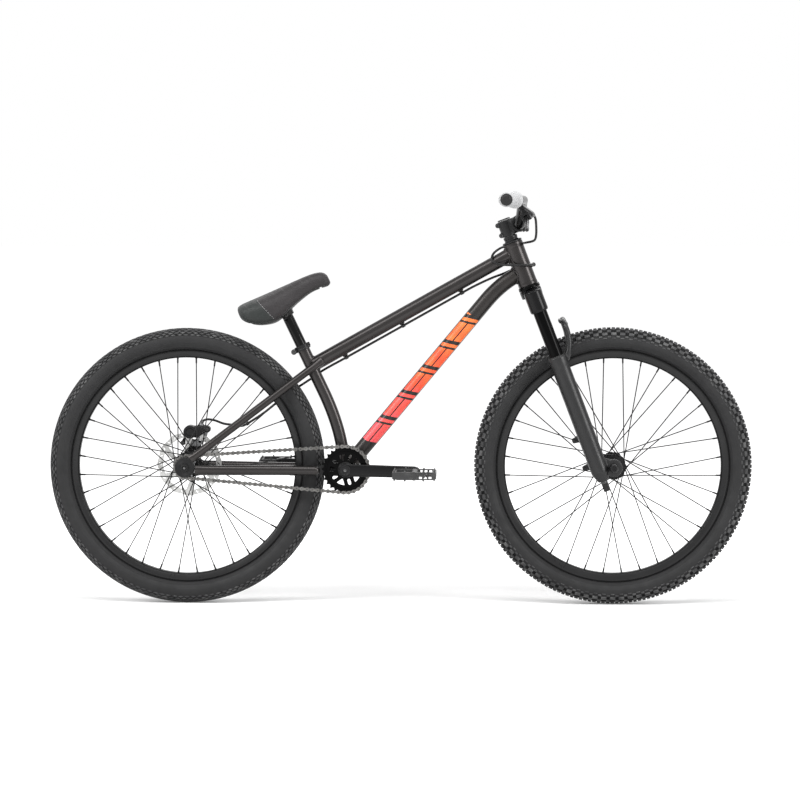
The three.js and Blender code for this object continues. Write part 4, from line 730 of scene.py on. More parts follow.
rear_hub = Shape()
rear_hub.turned(
    eased([
        (5.4, -67), (9.3, -67), (9.3, -56.4), (15.2, -56.2), (15.2, -36), (20, -34.5), (20.5, -28), (17, -22),
        (15, -8), (15, 8), (17, 22), (20.5, 28), (20.5, 36), (20, 50), (16.3, 51.2), (16.3, 53.6), (13, 55),
        (9.3, 57), (9.3, 67), (5.4, 67), (5.4, -67),
    ], 1.4),
    satin_black,
    REAR,
)
hub_flange(rear_hub, REAR, -FLANGE_Y, -5)
hub_flange(rear_hub, REAR, REAR_FLANGE_LEFT, 5)
rib = block((-1.2, -8, 0), (1.2, 8, 1.2), 0.3)
for k in range(9):
    way = spoke_way(TURN * k / 9)
    place = basis(REAR + way * 15 - CROSSWISE * 44, way, CROSSWISE)
    rear_hub.add(rib, dark_steel, place @ Matrix.Rotation(TURN / 4, 4, "Z"))
rear_hub.piece("hub_rear", "rear_wheel", ["rear_hub"])


# Brake rotor
ROTOR_Y = 52
ROTOR_HALF = 0.9


def arm_windows(count, inner, outer, arm_share, lean):
    holes = []
    step = TURN / count
    half = step * (1 - arm_share) / 2
    for i in range(count):
        middle = step * i
        far = arc(outer, middle - half, middle + half, 12)
        near = arc(inner, middle + half + lean, middle - half + lean, 5)
        holes.append(eased(far + near, 2.2, closed=True, steps=2))
    return holes


def slot_hole(radius, angle, length, width, lean):
    """A rounded slot whose middle lies at a radius and an angle."""
    half = length / 2 - width / 2
    ends = arc(width / 2, -TURN / 4, TURN / 4, 6, x=half) + arc(width / 2, TURN / 4, TURN * 3 / 4, 6, x=-half)
    turned = Matrix.Rotation(angle + lean, 2)
    middle = Vector(polar(radius, angle))
    return [tuple(turned @ Vector(place) + middle) for place in ends]


rotor = Shape()
rotor_holes = [circle(17, 48), *arm_windows(6, 27, 65.5, 0.26, 22 * DEGREE)]
for i in range(24):
    lean = (38 if i % 2 else -38) * DEGREE
    rotor_holes.append(slot_hole(72, TURN * i / 24, 7.6, 2.6, lean))
for i in range(6):
    rotor_holes.append(slot_hole(33, TURN * (i + 0.12) / 6, 6, 3, 0))
wavy = rippled(78.7, 1.2, 12, 288)
rotor.plate(wavy, ROTOR_Y - ROTOR_HALF, ROTOR_Y + ROTOR_HALF, steel, REAR, rotor_holes, 0.2)
for i in range(6):
    foot = REAR + spoke_way(TURN * (i + 0.5) / 6) * 21.5 + CROSSWISE * (ROTOR_Y - 0.5)
    rotor.add(rod(foot, foot + CROSSWISE * 3.2, 3.6, 3.2, 18), dark_steel)
rotor.piece("rotor", "rear_wheel", ["brake_rotor"], "steel")


# Sprocket, cog and chain
CHAIN_Y = -48
CHAIN_PITCH = 12.7
SPROCKET_TEETH = 28
COG_TEETH = 13
TOOTH_HALF = 1.5


def pitch_radius(teeth):
    return CHAIN_PITCH / (2 * math.sin(TURN / teeth / 2))


def teeth_outline(teeth, rise):
    """Round seats for the rollers with a tooth between each two."""
    pitch = pitch_radius(teeth)
    step = TURN / teeth
    ring = []
    for i in range(teeth):
        angle = step * (i + 0.5)
        centre = polar(pitch, angle)
        ring.extend(polar(3.5, angle + (240 - 20 * k) * DEGREE, *centre) for k in range(7))
        for share in (0.41, 0.5, 0.59):
            ring.append(polar(pitch + rise - abs(share - 0.5) * 9, angle + step * share))
    return ring


CRANK_ANGLE = 1.2
CRANK = Matrix.Translation(BRACKET) @ Matrix.Rotation(CRANK_ANGLE * DEGREE, 4, "Y")


def in_crank(shape):
    shape.points = [CRANK @ point for point in shape.points]
    return shape


sprocket = Shape()
sprocket_holes = [circle(12.6, 40)]
for k in range(5):
    sprocket_holes.append(slot_hole(31, TURN * k / 5, 15, 7.4, 0))
    middle = TURN * (k + 0.5) / 5
    wide = arc(38, middle - 15.5 * DEGREE, middle + 15.5 * DEGREE, 6)
    sprocket_holes.append(eased([polar(22.5, middle), *wide], 3, closed=True, steps=3))
chain_low, chain_high = CHAIN_Y - TOOTH_HALF, CHAIN_Y + TOOTH_HALF
sprocket_teeth = teeth_outline(SPROCKET_TEETH, 1.9)
sprocket.plate(sprocket_teeth, chain_low, chain_high, gloss_black, Vector(), sprocket_holes, 0.5)
guard_hole = [circle(45.5, 96)]
sprocket.plate(circle(49.5, 96), CHAIN_Y - 3.3, CHAIN_Y - 1, gloss_black, Vector(), guard_hole, 0.6)
sprocket_hub = [(12.6, -8.8), (18.5, -8.8), (19.5, -1), (19.5, 3), (12.6, 3), (12.6, -8.8)]
sprocket.turned(eased([(r, CHAIN_Y + y) for r, y in sprocket_hub], 1.2), satin_black, Vector())
in_crank(sprocket).piece("chainring", "crank", ["sprocket"])

cog = Shape()
cog.plate(teeth_outline(COG_TEETH, 2.4), chain_low, chain_high, grey_metal, REAR, [circle(15.9, 48)], 0.5)
cog.piece("cog", "cog", ["rear_cog"], "grey_metal")


def belt_line():
    """The chain's centre line as equally spaced points round both toothed wheels."""
    front = pitch_radius(SPROCKET_TEETH)
    back = pitch_radius(COG_TEETH)
    between = REAR - BRACKET
    heading = math.atan2(between.z, between.x)
    spread = math.acos((front - back) / between.length)
    line = arc(front, heading + spread, heading - spread + TURN, 240, BRACKET.x, BRACKET.z)
    line += arc(back, heading - spread, heading + spread, 120, REAR.x, REAR.z)
    line.append(line[0])
    lengths = [0.0]
    for a, b in zip(line, line[1:]):
        lengths.append(lengths[-1] + math.dist(a, b))
    count = 2 * round(lengths[-1] / CHAIN_PITCH / 2)
    places = []
    at = 0
    for k in range(count):
        wanted = lengths[-1] * k / count
        while lengths[at + 1] < wanted:
            at += 1
        share = (wanted - lengths[at]) / (lengths[at + 1] - lengths[at])
        a, b = line[at], line[at + 1]
        places.append(side(a[0] + (b[0] - a[0]) * share, a[1] + (b[1] - a[1]) * share))
    return places


def link_outline(length):
    half = length / 2
    right = arc(4.9, -TURN * 0.2, TURN * 0.2, 8, x=half)
    left = arc(4.9, TURN * 0.3, TURN * 0.7, 8, x=-half)
    return right + [(0, 2.5)] + left + [(0, -2.5)]


chain = Shape()
pins = belt_line()
link = link_outline(CHAIN_PITCH)
roller = lathe([(1.9, -2), (3.6, -2), (3.85, -1.6), (3.85, 1.6), (3.6, 2), (1.9, 2), (1.9, -2)], 14)
for k, here in enumerate(pins):
    there = pins[(k + 1) % len(pins)]
    outer = k % 2 == 0
    reach = 3.55 if outer else 2.4
    middle = (here + there) / 2
    angle = math.degrees(math.atan2(-(there.z - here.z), there.x - here.x))
    for hand in (-1, 1):
        y = CHAIN_Y + hand * reach
        chain.plate(link, y - 0.5, y + 0.5, chain_steel if outer else dark_steel, middle, (), 0.18, angle)
    at = here + CROSSWISE * CHAIN_Y
    chain.add(roller, dark_steel, basis(at, CROSSWISE))
    chain.add(rod(at - CROSSWISE * 4.5, at + CROSSWISE * 4.5, 1.85, sides=12, ease=0.4), dark_steel)
chain.piece("drive_chain", "frame", ["chain"], "steel")


# Cranks and pedals
CRANK_LENGTH = 170
CRANK_ROOT_Y = 57
CRANK_FLARE = 11
CRANK_THICKNESS = 15


def crank_arm(hand):
    """An arm that narrows and leans outward from root to tip."""
    reach = -hand * CRANK_LENGTH
    rings = []
    for i in range(25):
        share = i / 24
        tall = 15.8 - 1.4 * share - 0.3 * math.sin(math.pi * share)
        y = hand * (CRANK_ROOT_Y + CRANK_THICKNESS / 2 + CRANK_FLARE * share)
        half = CRANK_THICKNESS / 2 - 1.2 * math.sin(math.pi * share)
        rings.append([Vector((reach * share, y + half * c, tall * s)) for c, s in boxy_ring(28, 0.45, 0.5)])
    root = rod((0, hand * CRANK_ROOT_Y, 0), (0, hand * (CRANK_ROOT_Y + CRANK_THICKNESS), 0), 17, ease=2.5)
    tip_inner = hand * (CRANK_ROOT_Y + CRANK_FLARE)
    tip = rod((reach, tip_inner, 0), (reach, tip_inner + hand * CRANK_THICKNESS, 0), 13.5, ease=2.5)
    return fused([skin(rings), root, tip], 0.9, 5)


crank_cap = spun([
    (0, 1.4), (5, 1.4), (5.4, 0.2), (9.6, 0.4), (10.4, 1.6), (12.6, 1.6), (13.2, 0), (13.2, -3), (0, -3),
], 0.6, 48)
for label, hand in HANDS.items():
    arm = Shape().add(crank_arm(hand), crank_black)
    face = basis((0, hand * (CRANK_ROOT_Y + CRANK_THICKNESS), 0), CROSSWISE * hand)
    arm.add(crank_cap, satin_black, face)
    arm.add(slab(circle(4.1, 6), 0.2, 1.9, ease=0.2), dark_steel, face)
    arm.add(rod((0, hand * 8, 0), (0, hand * (CRANK_ROOT_Y + 2), 0), 11.9, sides=40), dark_steel)
    in_crank(arm).piece(f"crank_{label}", "crank", [f"crank_arm_{label}"], crease=40)

PEDAL_INNER = CRANK_ROOT_Y + CRANK_FLARE + CRANK_THICKNESS + 5
PEDAL_OUTER = PEDAL_INNER + 100
PEDAL_HALF = 53.5
PEDAL_MIDDLE = (PEDAL_INNER + PEDAL_OUTER) / 2


def pedal_side(windows_from):
    """A rail seen from the side of the bike: its outline and its windows."""
    end = PEDAL_HALF - 1
    corners = [(-end, -6), (-40, -9.4), (48, -9.4), (end, -6), (end, 6.4), (46, 9.4), (-46, 9.4), (-end, 4)]
    holes = []
    for column in range(3):
        for row in (-1, 1):
            x = windows_from + column * 11.4
            low, high = row * 4 - 2.7, row * 4 + 2.7
            holes.append(eased([(x, low), (x + 7, low), (x + 7, high), (x, high)], 1, closed=True, steps=2))
    return eased(corners, 3, closed=True), holes


rail, rail_windows = pedal_side(12)
spine = spun([
    (5.5, PEDAL_INNER), (9.6, PEDAL_INNER), (10.6, PEDAL_INNER + 8), (8.6, PEDAL_INNER + 18),
    (8.6, PEDAL_OUTER - 18), (10.4, PEDAL_OUTER - 8), (10.4, PEDAL_OUTER + 0.4), (8, PEDAL_OUTER + 0.8),
    (7.4, PEDAL_OUTER - 1), (0, PEDAL_OUTER - 1),
], 1.2, 40)
pin_form = spun([(0, 4.4), (1.5, 4.4), (1.9, 3.4), (1.9, 0), (3, -0.4), (3, -1.6), (0, -1.6)], 0.3, 12, 2)
pin_places = [(way * 48, PEDAL_MIDDLE + at) for way in (-1, 1) for at in (-32, -11, 11, 32)]
pin_places += [(way * 22, at) for way in (-1, 1) for at in (PEDAL_INNER + 3.5, PEDAL_OUTER - 3.5)]
axle_face = CRANK_ROOT_Y + CRANK_FLARE
axle_tip = axle_face + CRANK_THICKNESS
pedal_axle = spun([
    (0, axle_face + 0.4), (3.4, axle_face + 0.4), (3.4, axle_face + 2.5), (6.9, axle_face + 2.6),
    (7.1, axle_tip), (7.1, axle_tip + 0.6), (8.4, axle_tip + 0.6), (8.4, PEDAL_INNER - 0.4),
    (5, PEDAL_INNER - 0.4),
    (4.8, PEDAL_OUTER - 8), (0, PEDAL_OUTER - 8),
], 0.4, 28, 2)


def pedal_bar(hand, xs, ys, tall, ease):
    """A bar of the pedal's cage between two x and two distances from the mid-plane."""
    low_y, high_y = on_side(hand, *ys)
    return block((min(xs), low_y, -tall), (max(xs), high_y, tall), ease)


for label, hand in HANDS.items():
    body = Shape()
    for ys in ((PEDAL_INNER, PEDAL_INNER + 7), (PEDAL_OUTER - 7, PEDAL_OUTER)):
        body.plate(rail, *on_side(hand, *ys), pedal_black, Vector(), rail_windows, 0.8)
    for way in (-1, 1):
        for x, wide, tall in ((PEDAL_HALF - 5.5, 9, 8), (30, 4, 3)):
            xs = (way * x - wide / 2, way * x + wide / 2)
            body.add(pedal_bar(hand, xs, (PEDAL_INNER + 4, PEDAL_OUTER - 4), tall, 1.6), pedal_black)
    for y in (PEDAL_INNER + 33, PEDAL_OUTER - 33):
        for way in (-1, 1):
            body.add(pedal_bar(hand, (way * 8, way * 46), (y - 3, y + 3), 2.4, 1.2), pedal_black)
    body.add(spine, pedal_black, basis(Vector(), CROSSWISE * hand))
    for x, y in pin_places:
        for up in (-1, 1):
            body.add(pin_form, dark_steel, basis((x, hand * y, up * 8.4), UPWARD * up))
    crank_end = side(-hand * CRANK_LENGTH, 0)
    pedal_centre = CRANK @ crank_end
    body.points = [pedal_centre + point for point in body.points]
    body.piece(f"platform_{label}", f"{label}_pedal", [f"pedal_{label}"])
    axle = Shape().add(pedal_axle, dark_steel, basis(crank_end, CROSSWISE * hand))
    in_crank(axle).piece(f"pedal_spindle_{label}", "crank", [f"pedal_axle_{label}"], "steel")


# Frame
SEAT_ANGLE = 115.5
SEAT_FOOT_ANGLE = 98
TOP_ANGLE = 29.25
DOWN_FOOT_ANGLE = 50.2
DOWN_TOP_ANGLE = 33
SEAT_TOP = side(BRACKET.x - 110.4, BRACKET.z + 301.5)
SEAT_FOOT = side(BRACKET.x - 3.5, BRACKET.z)
SEAT_UP = slope(SEAT_ANGLE)
TOP_SLOPE = slope(TOP_ANGLE)
TOP_RADIUS = 17.2
DOWN_RADIUS = 18.9
SEAT_RADIUS = 15.2
HEAD_OUTER = 24.4
SHELL_OUTER = 21.4
SHELL_HALF = 36.4


def meeting(first, first_angle, second, second_angle):
    """Where two lines in the bike's plane meet, each through a point and at an angle."""
    a = slope(first_angle)
    b = slope(second_angle)
    gap = second - first
    return first + a * ((gap.x * b.z - gap.z * b.x) / (a.x * b.z - a.z * b.x))


def bend(corner, before, from_length, after, to_length, steps=14):
    start = corner - before * from_length
    end = corner + after * to_length
    line = []
    for k in range(steps + 1):
        t = k / steps
        line.append(start * (1 - t) ** 2 + corner * (2 * t * (1 - t)) + end * t ** 2)
    return line


SEAT_CORNER = meeting(SEAT_FOOT, SEAT_FOOT_ANGLE, SEAT_TOP, SEAT_ANGLE)
SEAT_BEND = (SEAT_CORNER - SEAT_TOP + SEAT_UP * 126).length
SEAT_LINE = [SEAT_FOOT, *bend(SEAT_CORNER, slope(SEAT_FOOT_ANGLE), 71, SEAT_UP, SEAT_BEND), SEAT_TOP]
DOWN_TOP = HEAD_FOOT + HEAD_UP * 38
DOWN_CORNER = meeting(BRACKET, DOWN_FOOT_ANGLE, DOWN_TOP, DOWN_TOP_ANGLE)
DOWN_LINE = [BRACKET, *bend(DOWN_CORNER, slope(DOWN_FOOT_ANGLE), 44, slope(DOWN_TOP_ANGLE), 44), DOWN_TOP]
TOP_FRONT = HEAD_FOOT + HEAD_UP * 87.8
TOP_MEETING = meeting(TOP_FRONT, TOP_ANGLE, SEAT_TOP, SEAT_ANGLE)


def finer(line, most=12.0):
    """The same line with no stretch longer than a length."""
    made = [line[0]]
    for a, b in zip(line, line[1:]):
        parts = max(1, math.ceil((b - a).length / most))
        made.extend(a.lerp(b, k / parts) for k in range(1, parts + 1))
    return made


def off_line(line, radius):
    """Gives how far a point lies outside a round tube along a line."""
    def distance(point):
        nearest = 1e9
        for a, b in zip(line, line[1:]):
            stretch = b - a
            share = min(max((point - a).dot(stretch) / stretch.length_squared, -0.2), 1.2)
            nearest = min(nearest, (point - a - stretch * share).length)
        return nearest - radius
    return distance


def off_cylinder(origin, axis, radius):
    """Gives how far a point lies outside an endless round tube."""
    direction = Vector(axis).normalized()

    def distance(point):
        arm = point - origin
        return (arm - direction * arm.dot(direction)).length - radius
    return distance


def weld(shape, origin, axis, radius, outside):
    """A bead of overlapping beads where a round tube comes out of another form."""
    bead = 2.1
    bead_length = 3.4
    place = basis(origin, axis)
    line = []
    for x, y in circle(radius, 90):
        low, high = 0.0, 90.0
        for _ in range(22):
            middle = (low + high) / 2
            if outside(place @ Vector((x, y, middle))) > 0:
                high = middle
            else:
                low = middle
        line.append(place @ Vector((x, y, high)))
    stretches = list(zip(line, line[1:] + line[:1]))
    ripples = round(sum((b - a).length for a, b in stretches) / bead_length)
    fine = [p for a, b in stretches for p in (a, a.lerp(b, 0.34), a.lerp(b, 0.67))]

    def bead_size(share):
        return bead * (0.9 + 0.16 * math.cos(TURN * ripples * share))

    shape.add(sweep(fine, bead_size, 8, loop=True), frame_paint)


def graphic():
    """The down tube's finish: slanted blocks in warm colours with dark gaps between them."""
    look = Look("down_tube_paint")
    first, last, pitch = 84, 484, 80

    def between(source, low, high):
        over = look.ranged(source, 0, 1, low, low + 0.6)
        return look.product(over, look.ranged(source, 1, 0, high, high + 0.6))

    along = look.measured(BRACKET, slope(DOWN_FOOT_ANGLE))
    across = look.measured(BRACKET, slope(DOWN_FOOT_ANGLE + 90))
    leaning = look.maths("ADD", along, look.product(across, 0.5))
    cell = look.maths("MODULO", look.maths("SUBTRACT", leaning, first), pitch)
    block_mask = between(cell, 3, 58)
    stripe = between(cell, 64, 73)
    height = look.maths("ABSOLUTE", across)
    split = look.maths("SUBTRACT", 1, look.product(look.ranged(height, 1, 0, 1.2, 1.8), block_mask))
    band = look.ranged(height, 1, 0, 16.6, 17.2)
    mask = look.product(look.maths("ADD", block_mask, stripe), band, split, between(along, first, last))
    cloud = look.ranged(look.noise(14, 4), 0, 1)
    paint = look.mixed(cloud, (0.023, 0.021, 0.02), (0.031, 0.028, 0.0265))
    drift = look.ranged(look.noise(22, 2), -0.25, 0.25)
    tone = look.maths("ADD", look.ranged(along, 0, 1, first, 480), drift)
    low_half = look.mixed(look.ranged(tone, 0, 1, 0, 0.5), (0.86, 0.1, 0.12), (0.96, 0.09, 0.035))
    warm = look.mixed(look.ranged(tone, 0, 1, 0.5, 1), low_half, (0.93, 0.22, 0.05))
    scuffs = look.ranged(look.noise(240, 5), 0, 0.25, 0.66, 0.8)
    look.put("Base Color", look.mixed(mask, paint, look.mixed(scuffs, warm, paint)))
    look.put("Metallic", look.ranged(mask, 0.5, 0.0, 0, 1))
    look.put("Roughness", look.ranged(look.noise(45, 5), 0.3, 0.4))
    speck = look.ranged(look.noise(2600, 2), 0, 1)
    look.put("Normal", look.bump(speck, 0.4, 0.006, look.bump(mask, 0.6, 0.04)))
    look.put("Specular IOR Level", 0.35)
    return look.material


down_paint = graphic()
HEAD_OUTSIDE = off_cylinder(HEAD_FOOT, HEAD_UP, 24.5)
SHELL_OUTSIDE = off_cylinder(BRACKET, CROSSWISE, 21.5)
SEAT_OUTSIDE = off_line(SEAT_LINE, 15.3)

head = Shape()
head.add(spun([
    (20.4, 0.1), (HEAD_OUTER, 0.1), (24.45, 6), (23.9, 9), (23.9, 100), (24.45, 103), (HEAD_OUTER, 110.9),
    (20.4, 110.9), (20.4, 0.1),
], 1.2, 72), frame_paint, HEAD)
head.add(collar(3.1, 5.2, -4.4, 4.4, 0.7, 24), frame_paint, HEAD @ basis((29.6, 0, 43), CROSSWISE))
head.add(block((23, -2.4, 38.6), (26.6, 2.4, 47.4), 0.8), frame_paint, HEAD)
weld(head, TOP_FRONT, -TOP_SLOPE, TOP_RADIUS, HEAD_OUTSIDE)
weld(head, DOWN_TOP, -slope(DOWN_TOP_ANGLE), DOWN_RADIUS, HEAD_OUTSIDE)
head.piece("head_tube_shell", "frame", ["head_tube"], "frame")

GUIDE_SHARES = (0.2852, 0.5722, 0.8505)
TOP_LENGTH = (TOP_FRONT - TOP_MEETING).length
top = Shape()
top_line = finer([TOP_MEETING + TOP_SLOPE * 8, TOP_FRONT - TOP_SLOPE * 20])
top.add(sweep(top_line, TOP_RADIUS, 56), frame_paint)
weld(top, TOP_MEETING, TOP_SLOPE, TOP_RADIUS, SEAT_OUTSIDE)
guide_clip = collar(2.9, 4.4, -4.5, 4.5, 0.6, 20)
for share in GUIDE_SHARES:
    at = TOP_FRONT - TOP_SLOPE * (share * TOP_LENGTH)
    place = basis(at, slope(TOP_ANGLE - 90), TOP_SLOPE)
    top.add(block((-6.5, -3, 16), (6.5, 3, 19.6), 0.8), frame_paint, place)
    top.add(guide_clip, hard_plastic, basis(place @ Vector((0, 0, 24)), TOP_SLOPE))
top.piece("top_tube_shell", "frame", ["top_tube"], "frame")

down = Shape()
down_line = [p for p in finer(DOWN_LINE) if HEAD_OUTSIDE(p) > -8 and SHELL_OUTSIDE(p) > -6]
down.add(sweep(down_line, DOWN_RADIUS, 64), down_paint)
weld(down, BRACKET, slope(DOWN_FOOT_ANGLE), DOWN_RADIUS, SHELL_OUTSIDE)
down.piece("down_tube_shell", "frame", ["down_tube"], "frame")

seat = Shape()
seat_line = [p for p in finer(SEAT_LINE) if SHELL_OUTSIDE(p) > -6]
seat.add(sweep(seat_line[:-2] + [SEAT_TOP - SEAT_UP], SEAT_RADIUS, 52), frame_paint)
weld(seat, SEAT_FOOT, slope(SEAT_FOOT_ANGLE), SEAT_RADIUS, SHELL_OUTSIDE)
seat.piece("seat_tube_shell", "frame", ["seat_tube"], "frame")

shell = Shape()
shell.turned(eased(band_profile(17.2, SHELL_OUTER, -SHELL_HALF, SHELL_HALF), 1.2), frame_paint, BRACKET)
shell.piece("bracket_shell", "frame", ["bottom_bracket_shell"], "frame")

# Rear triangle. Each stay has places as (share of its length, distance from the mid-plane)
STAY_ORIGIN = side(REAR.x, REAR.z + 9)
STAY_RISE = slope(37)
STAY_START = 27
STAY_LENGTH = 391.6
SEATSTAY = ((0, 71), (0.34, 61.5), (0.72, 43), (0.84, 35.05), (0.93, 25.1), (1, 17.3))
CHAINSTAY = ((0, 71), (0.34, 60), (0.68, 48.5), (1, 44.5))
CHAINSTAY_FROM = side(REAR.x + 25, REAR.z - 5)
CHAINSTAY_TO = side(BRACKET.x - 73.9, REAR.z - 8.5)
CHAINSTAY_RADIUS = 10.8
YOKE_HALF = 17
YOKE_ROOT = 14


def seatstay_size(share):
    """Half widths of the seatstay: a flat end at the axle and a round nose at the seat tube."""
    flat = min(max((share - 0.78) / 0.2, 0), 1)
    thinner = 1 - min(share / 0.08, 1)
    nose = math.sqrt(max(1 - (max(share - 0.97, 0) / 0.031) ** 2, 0.0))
    return (9.3 - 2.2 * flat - 3.2 * thinner) * nose, (9.3 + 1.4 * flat - 0.6 * thinner) * nose


def chainstay_size(share):
    thinner = 1 - min(share / 0.07, 1)
    return CHAINSTAY_RADIUS - 3.6 * thinner, 11.8 - 0.8 * thinner


def seam_size(share):
    return 1.5 * (0.85 + 0.2 * math.cos(TURN * share * 6))


def seatstay(label, hand):
    stay = Shape()
    path = []
    for share, spread in SEATSTAY:
        middle = STAY_ORIGIN + STAY_RISE * (STAY_START + share * STAY_LENGTH)
        path.append(middle + CROSSWISE * (hand * spread))
    line = spline(path, 10)
    stay.add(sweep(line, seatstay_size, 36), frame_paint)
    stub = [path[0] - STAY_RISE * 9, path[0], line[3]]
    stay.add(sweep(stub, lambda share: (3.6 + 3 * share, 9.5), 24), frame_paint)
    stay.piece(f"seatstay_{label}_shell", "frame", [f"seatstay_{label}"], "frame")


def chainstay(label, hand):
    """A stay with a round front end between the windowed plates of the yoke."""
    stay = Shape()
    path = []
    for share, spread in CHAINSTAY:
        path.append(CHAINSTAY_FROM.lerp(CHAINSTAY_TO, share) + CROSSWISE * (hand * spread))
    stay.add(sweep(spline(path, 12), chainstay_size, 36), frame_paint)
    end = path[-1]
    stay.add(lathe(arc(CHAINSTAY_RADIUS, 0, TURN / 4, 6), 36), frame_paint, basis(end, FORWARD))
    near, root = end.x - 20, BRACKET.x - YOKE_ROOT
    low, high = BRACKET.z - YOKE_HALF, BRACKET.z + YOKE_HALF
    yoke = [
        (near, end.z - 9.5), (end.x, end.z - 11), (root, low), (BRACKET.x, low),
        (BRACKET.x, high), (root, high), (end.x, end.z + 11), (near, end.z + 9.5),
    ]
    window_end = BRACKET.x - 26
    window = [(end.x + 22, 328.5), (window_end, 326), (window_end, 339), (end.x + 22, 338)]
    holes = [eased(window, 3, closed=True)]
    low, high = on_side(hand, 34.2, 40.3)
    stay.plate(eased(yoke, 5, closed=True), low, high, satin_black, Vector(), holes, 0.8)
    for up in (-1, 1):
        seam = [Vector((end.x - 18 + i * 2.2, hand * (40.6 - 0.15 * i), end.z + up * 9.6)) for i in range(9)]
        stay.add(sweep(finer(seam, 0.8), seam_size, 8), frame_paint)
    stay.piece(f"chainstay_{label}_shell", "frame", [f"chainstay_{label}"], "frame")


MOUNT_ANGLE = 11.2


def dropout(label, hand):
    """A round plate with a raised rim and a tail; the left one carries the brake."""
    plate = Shape()
    low, high = on_side(hand, 67.6, 74.4)
    if hand > 0:
        tab = [(-18.5, 14), (-18.5, 59.5), (18.5, 59.5), (18.5, 14)]
        turned = [tuple(Matrix.Rotation(-MOUNT_ANGLE * DEGREE, 2) @ Vector(place)) for place in tab]
        plate.plate(eased(turned, 5, closed=True), low + 0.1, high - 0.1, satin_black, REAR, [], 0.9)
    plate.plate(circle(24.3, 96), low, high, satin_black, REAR, [circle(5.4, 24)], 1.2)
    plate.plate(circle(23.2, 80), *on_side(hand, 74, 74.75), satin_black, REAR, [circle(19.6, 80)], 0.25)
    tail = eased([(14, -9), (22, -10.5), (23.6, -3), (23.6, 6), (19, 13), (12, 12)], 3, closed=True)
    plate.plate(tail, low + 0.6, high - 0.6, satin_black, REAR, [], 0.8)
    screw = REAR + Vector((8, hand * 71, 2))
    plate.add(rod(screw, screw + Vector((15.6, 0, 1.5)), 2.6, sides=18), dark_steel)
    plate.piece(f"dropout_{label}_plate", "frame", [f"dropout_{label}"])


for label, hand in HANDS.items():
    seatstay(label, hand)
    chainstay(label, hand)
    dropout(label, hand)

axle = Shape()
axle.add(rod(REAR - CROSSWISE * 74, REAR + CROSSWISE * 74, 4.9, sides=28), dark_steel)
axle_bolt = spun([
    (0, 0), (10.9, 0), (10.9, 2), (9.6, 3), (9.2, 7.6), (8, 8.8), (5.2, 8.8), (4.6, 6), (0, 6),
], 0.7, 40)
for hand in HANDS.values():
    face = basis(REAR + CROSSWISE * hand * 74.9, CROSSWISE * hand)
    axle.add(axle_bolt, satin_black, face)
    axle.add(slab(circle(3.4, 6), 5.6, 7.6, ease=0.2), dark_steel, face)
axle.piece("rear_axle_bolts", "frame", ["rear_axle"])

# Headset, bottom bracket cups, seat post and clamp
lower_cup = spun([
    (15, -9.6), (26.6, -9.6), (27, -8.4), (27, -4.2), (26.2, -3.6), (26.2, -2.8), (27, -2.2), (26, -0.3),
    (20.1, -0.3), (20.1, 11.5), (15, 11.5), (15, -9.6),
], 0.7, 72)
upper_cup = spun([
    (15, 99.5), (20.1, 99.5), (20.1, 111.3), (24.4, 111.4), (24.4, 114.4), (22.6, 115.6), (18.4, 116.4),
    (16.6, 117.6), (16.6, 121.4), (17.4, 122), (17.4, 127.9), (15, 127.9), (15, 99.5),
], 0.8, 72)
Shape().add(lower_cup, gloss_black, HEAD).piece("lower_cup", "frame", ["headset_lower_cup"])
Shape().add(upper_cup, satin_black, HEAD).piece("upper_cup", "frame", ["headset_upper_cup"])

bracket_cup = spun([
    (12.8, 22.6), (16.6, 22.6), (16.6, 36.8), (21.1, 36.9), (21.1, 38.8), (19.6, 39.7), (14.4, 39.7),
    (14, 38.6), (12.8, 38.6), (12.8, 22.6),
], 0.5, 60)
notch = block((-1.3, -1.2, 36.9), (1.3, 0.2, 39), 0.3)
for label, hand in HANDS.items():
    place = basis(BRACKET, CROSSWISE * hand)
    cup = Shape().add(bracket_cup, satin_black, place)
    for k in range(16):
        spin = Matrix.Rotation(TURN * k / 16, 4, "Z") @ Matrix.Translation((0, 21.1, 0))
        cup.add(notch, satin_black, place @ spin)
    cup.piece(f"bracket_cup_{label}", "frame", [f"bottom_bracket_cup_{label}"])

PIVOT = SEAT_TOP + SEAT_UP * 82
POST_RADIUS = 13.5
post = Shape()
post.add(rod(SEAT_TOP - SEAT_UP * 74.5, PIVOT - SEAT_UP * 9, POST_RADIUS, sides=56, ease=0.8), post_black)
post_head = fused([
    rod(PIVOT - SEAT_UP * 30, PIVOT, 13.4, sides=48),
    rod(PIVOT - CROSSWISE * 11.4, PIVOT + CROSSWISE * 11.4, 13.4, sides=48, ease=1),
], 0.7, 4)
post.add(post_head, post_black)
post.piece("seat_post_tube", "post", ["seat_post"])

CLAMP = basis(SEAT_TOP, SEAT_UP, slope(SEAT_ANGLE - 90))
CLAMP_BOLT = CLAMP @ Vector((-23.4, 0, -8))
clamp = Shape()
clamp.add(spun([
    (15.5, -13.9), (18.9, -13.9), (18.9, -10), (18.2, -9), (18.2, -5), (18.9, -4), (18.9, -0.1), (15.5, -0.1),
    (15.5, -13.9),
], 0.8, 64), satin_black, CLAMP)
for hand in HANDS.values():
    low, high = on_side(hand, 1.1, 9.8)
    ear_end = rod((-23.4, low, -8), (-23.4, high, -8), 6.8)
    clamp.add(fused([boxed((-24, low, -12.6), (-15, high, -3)), ear_end], 0.8, 3), satin_black, CLAMP)
clamp.add(block((16.5, -3.4, -10.6), (20.6, 3.4, -0.6), 1), satin_black, CLAMP)
clamp.add(rod(CLAMP_BOLT - CROSSWISE * 12.5, CLAMP_BOLT + CROSSWISE * 12, 2.6, sides=20), dark_steel)
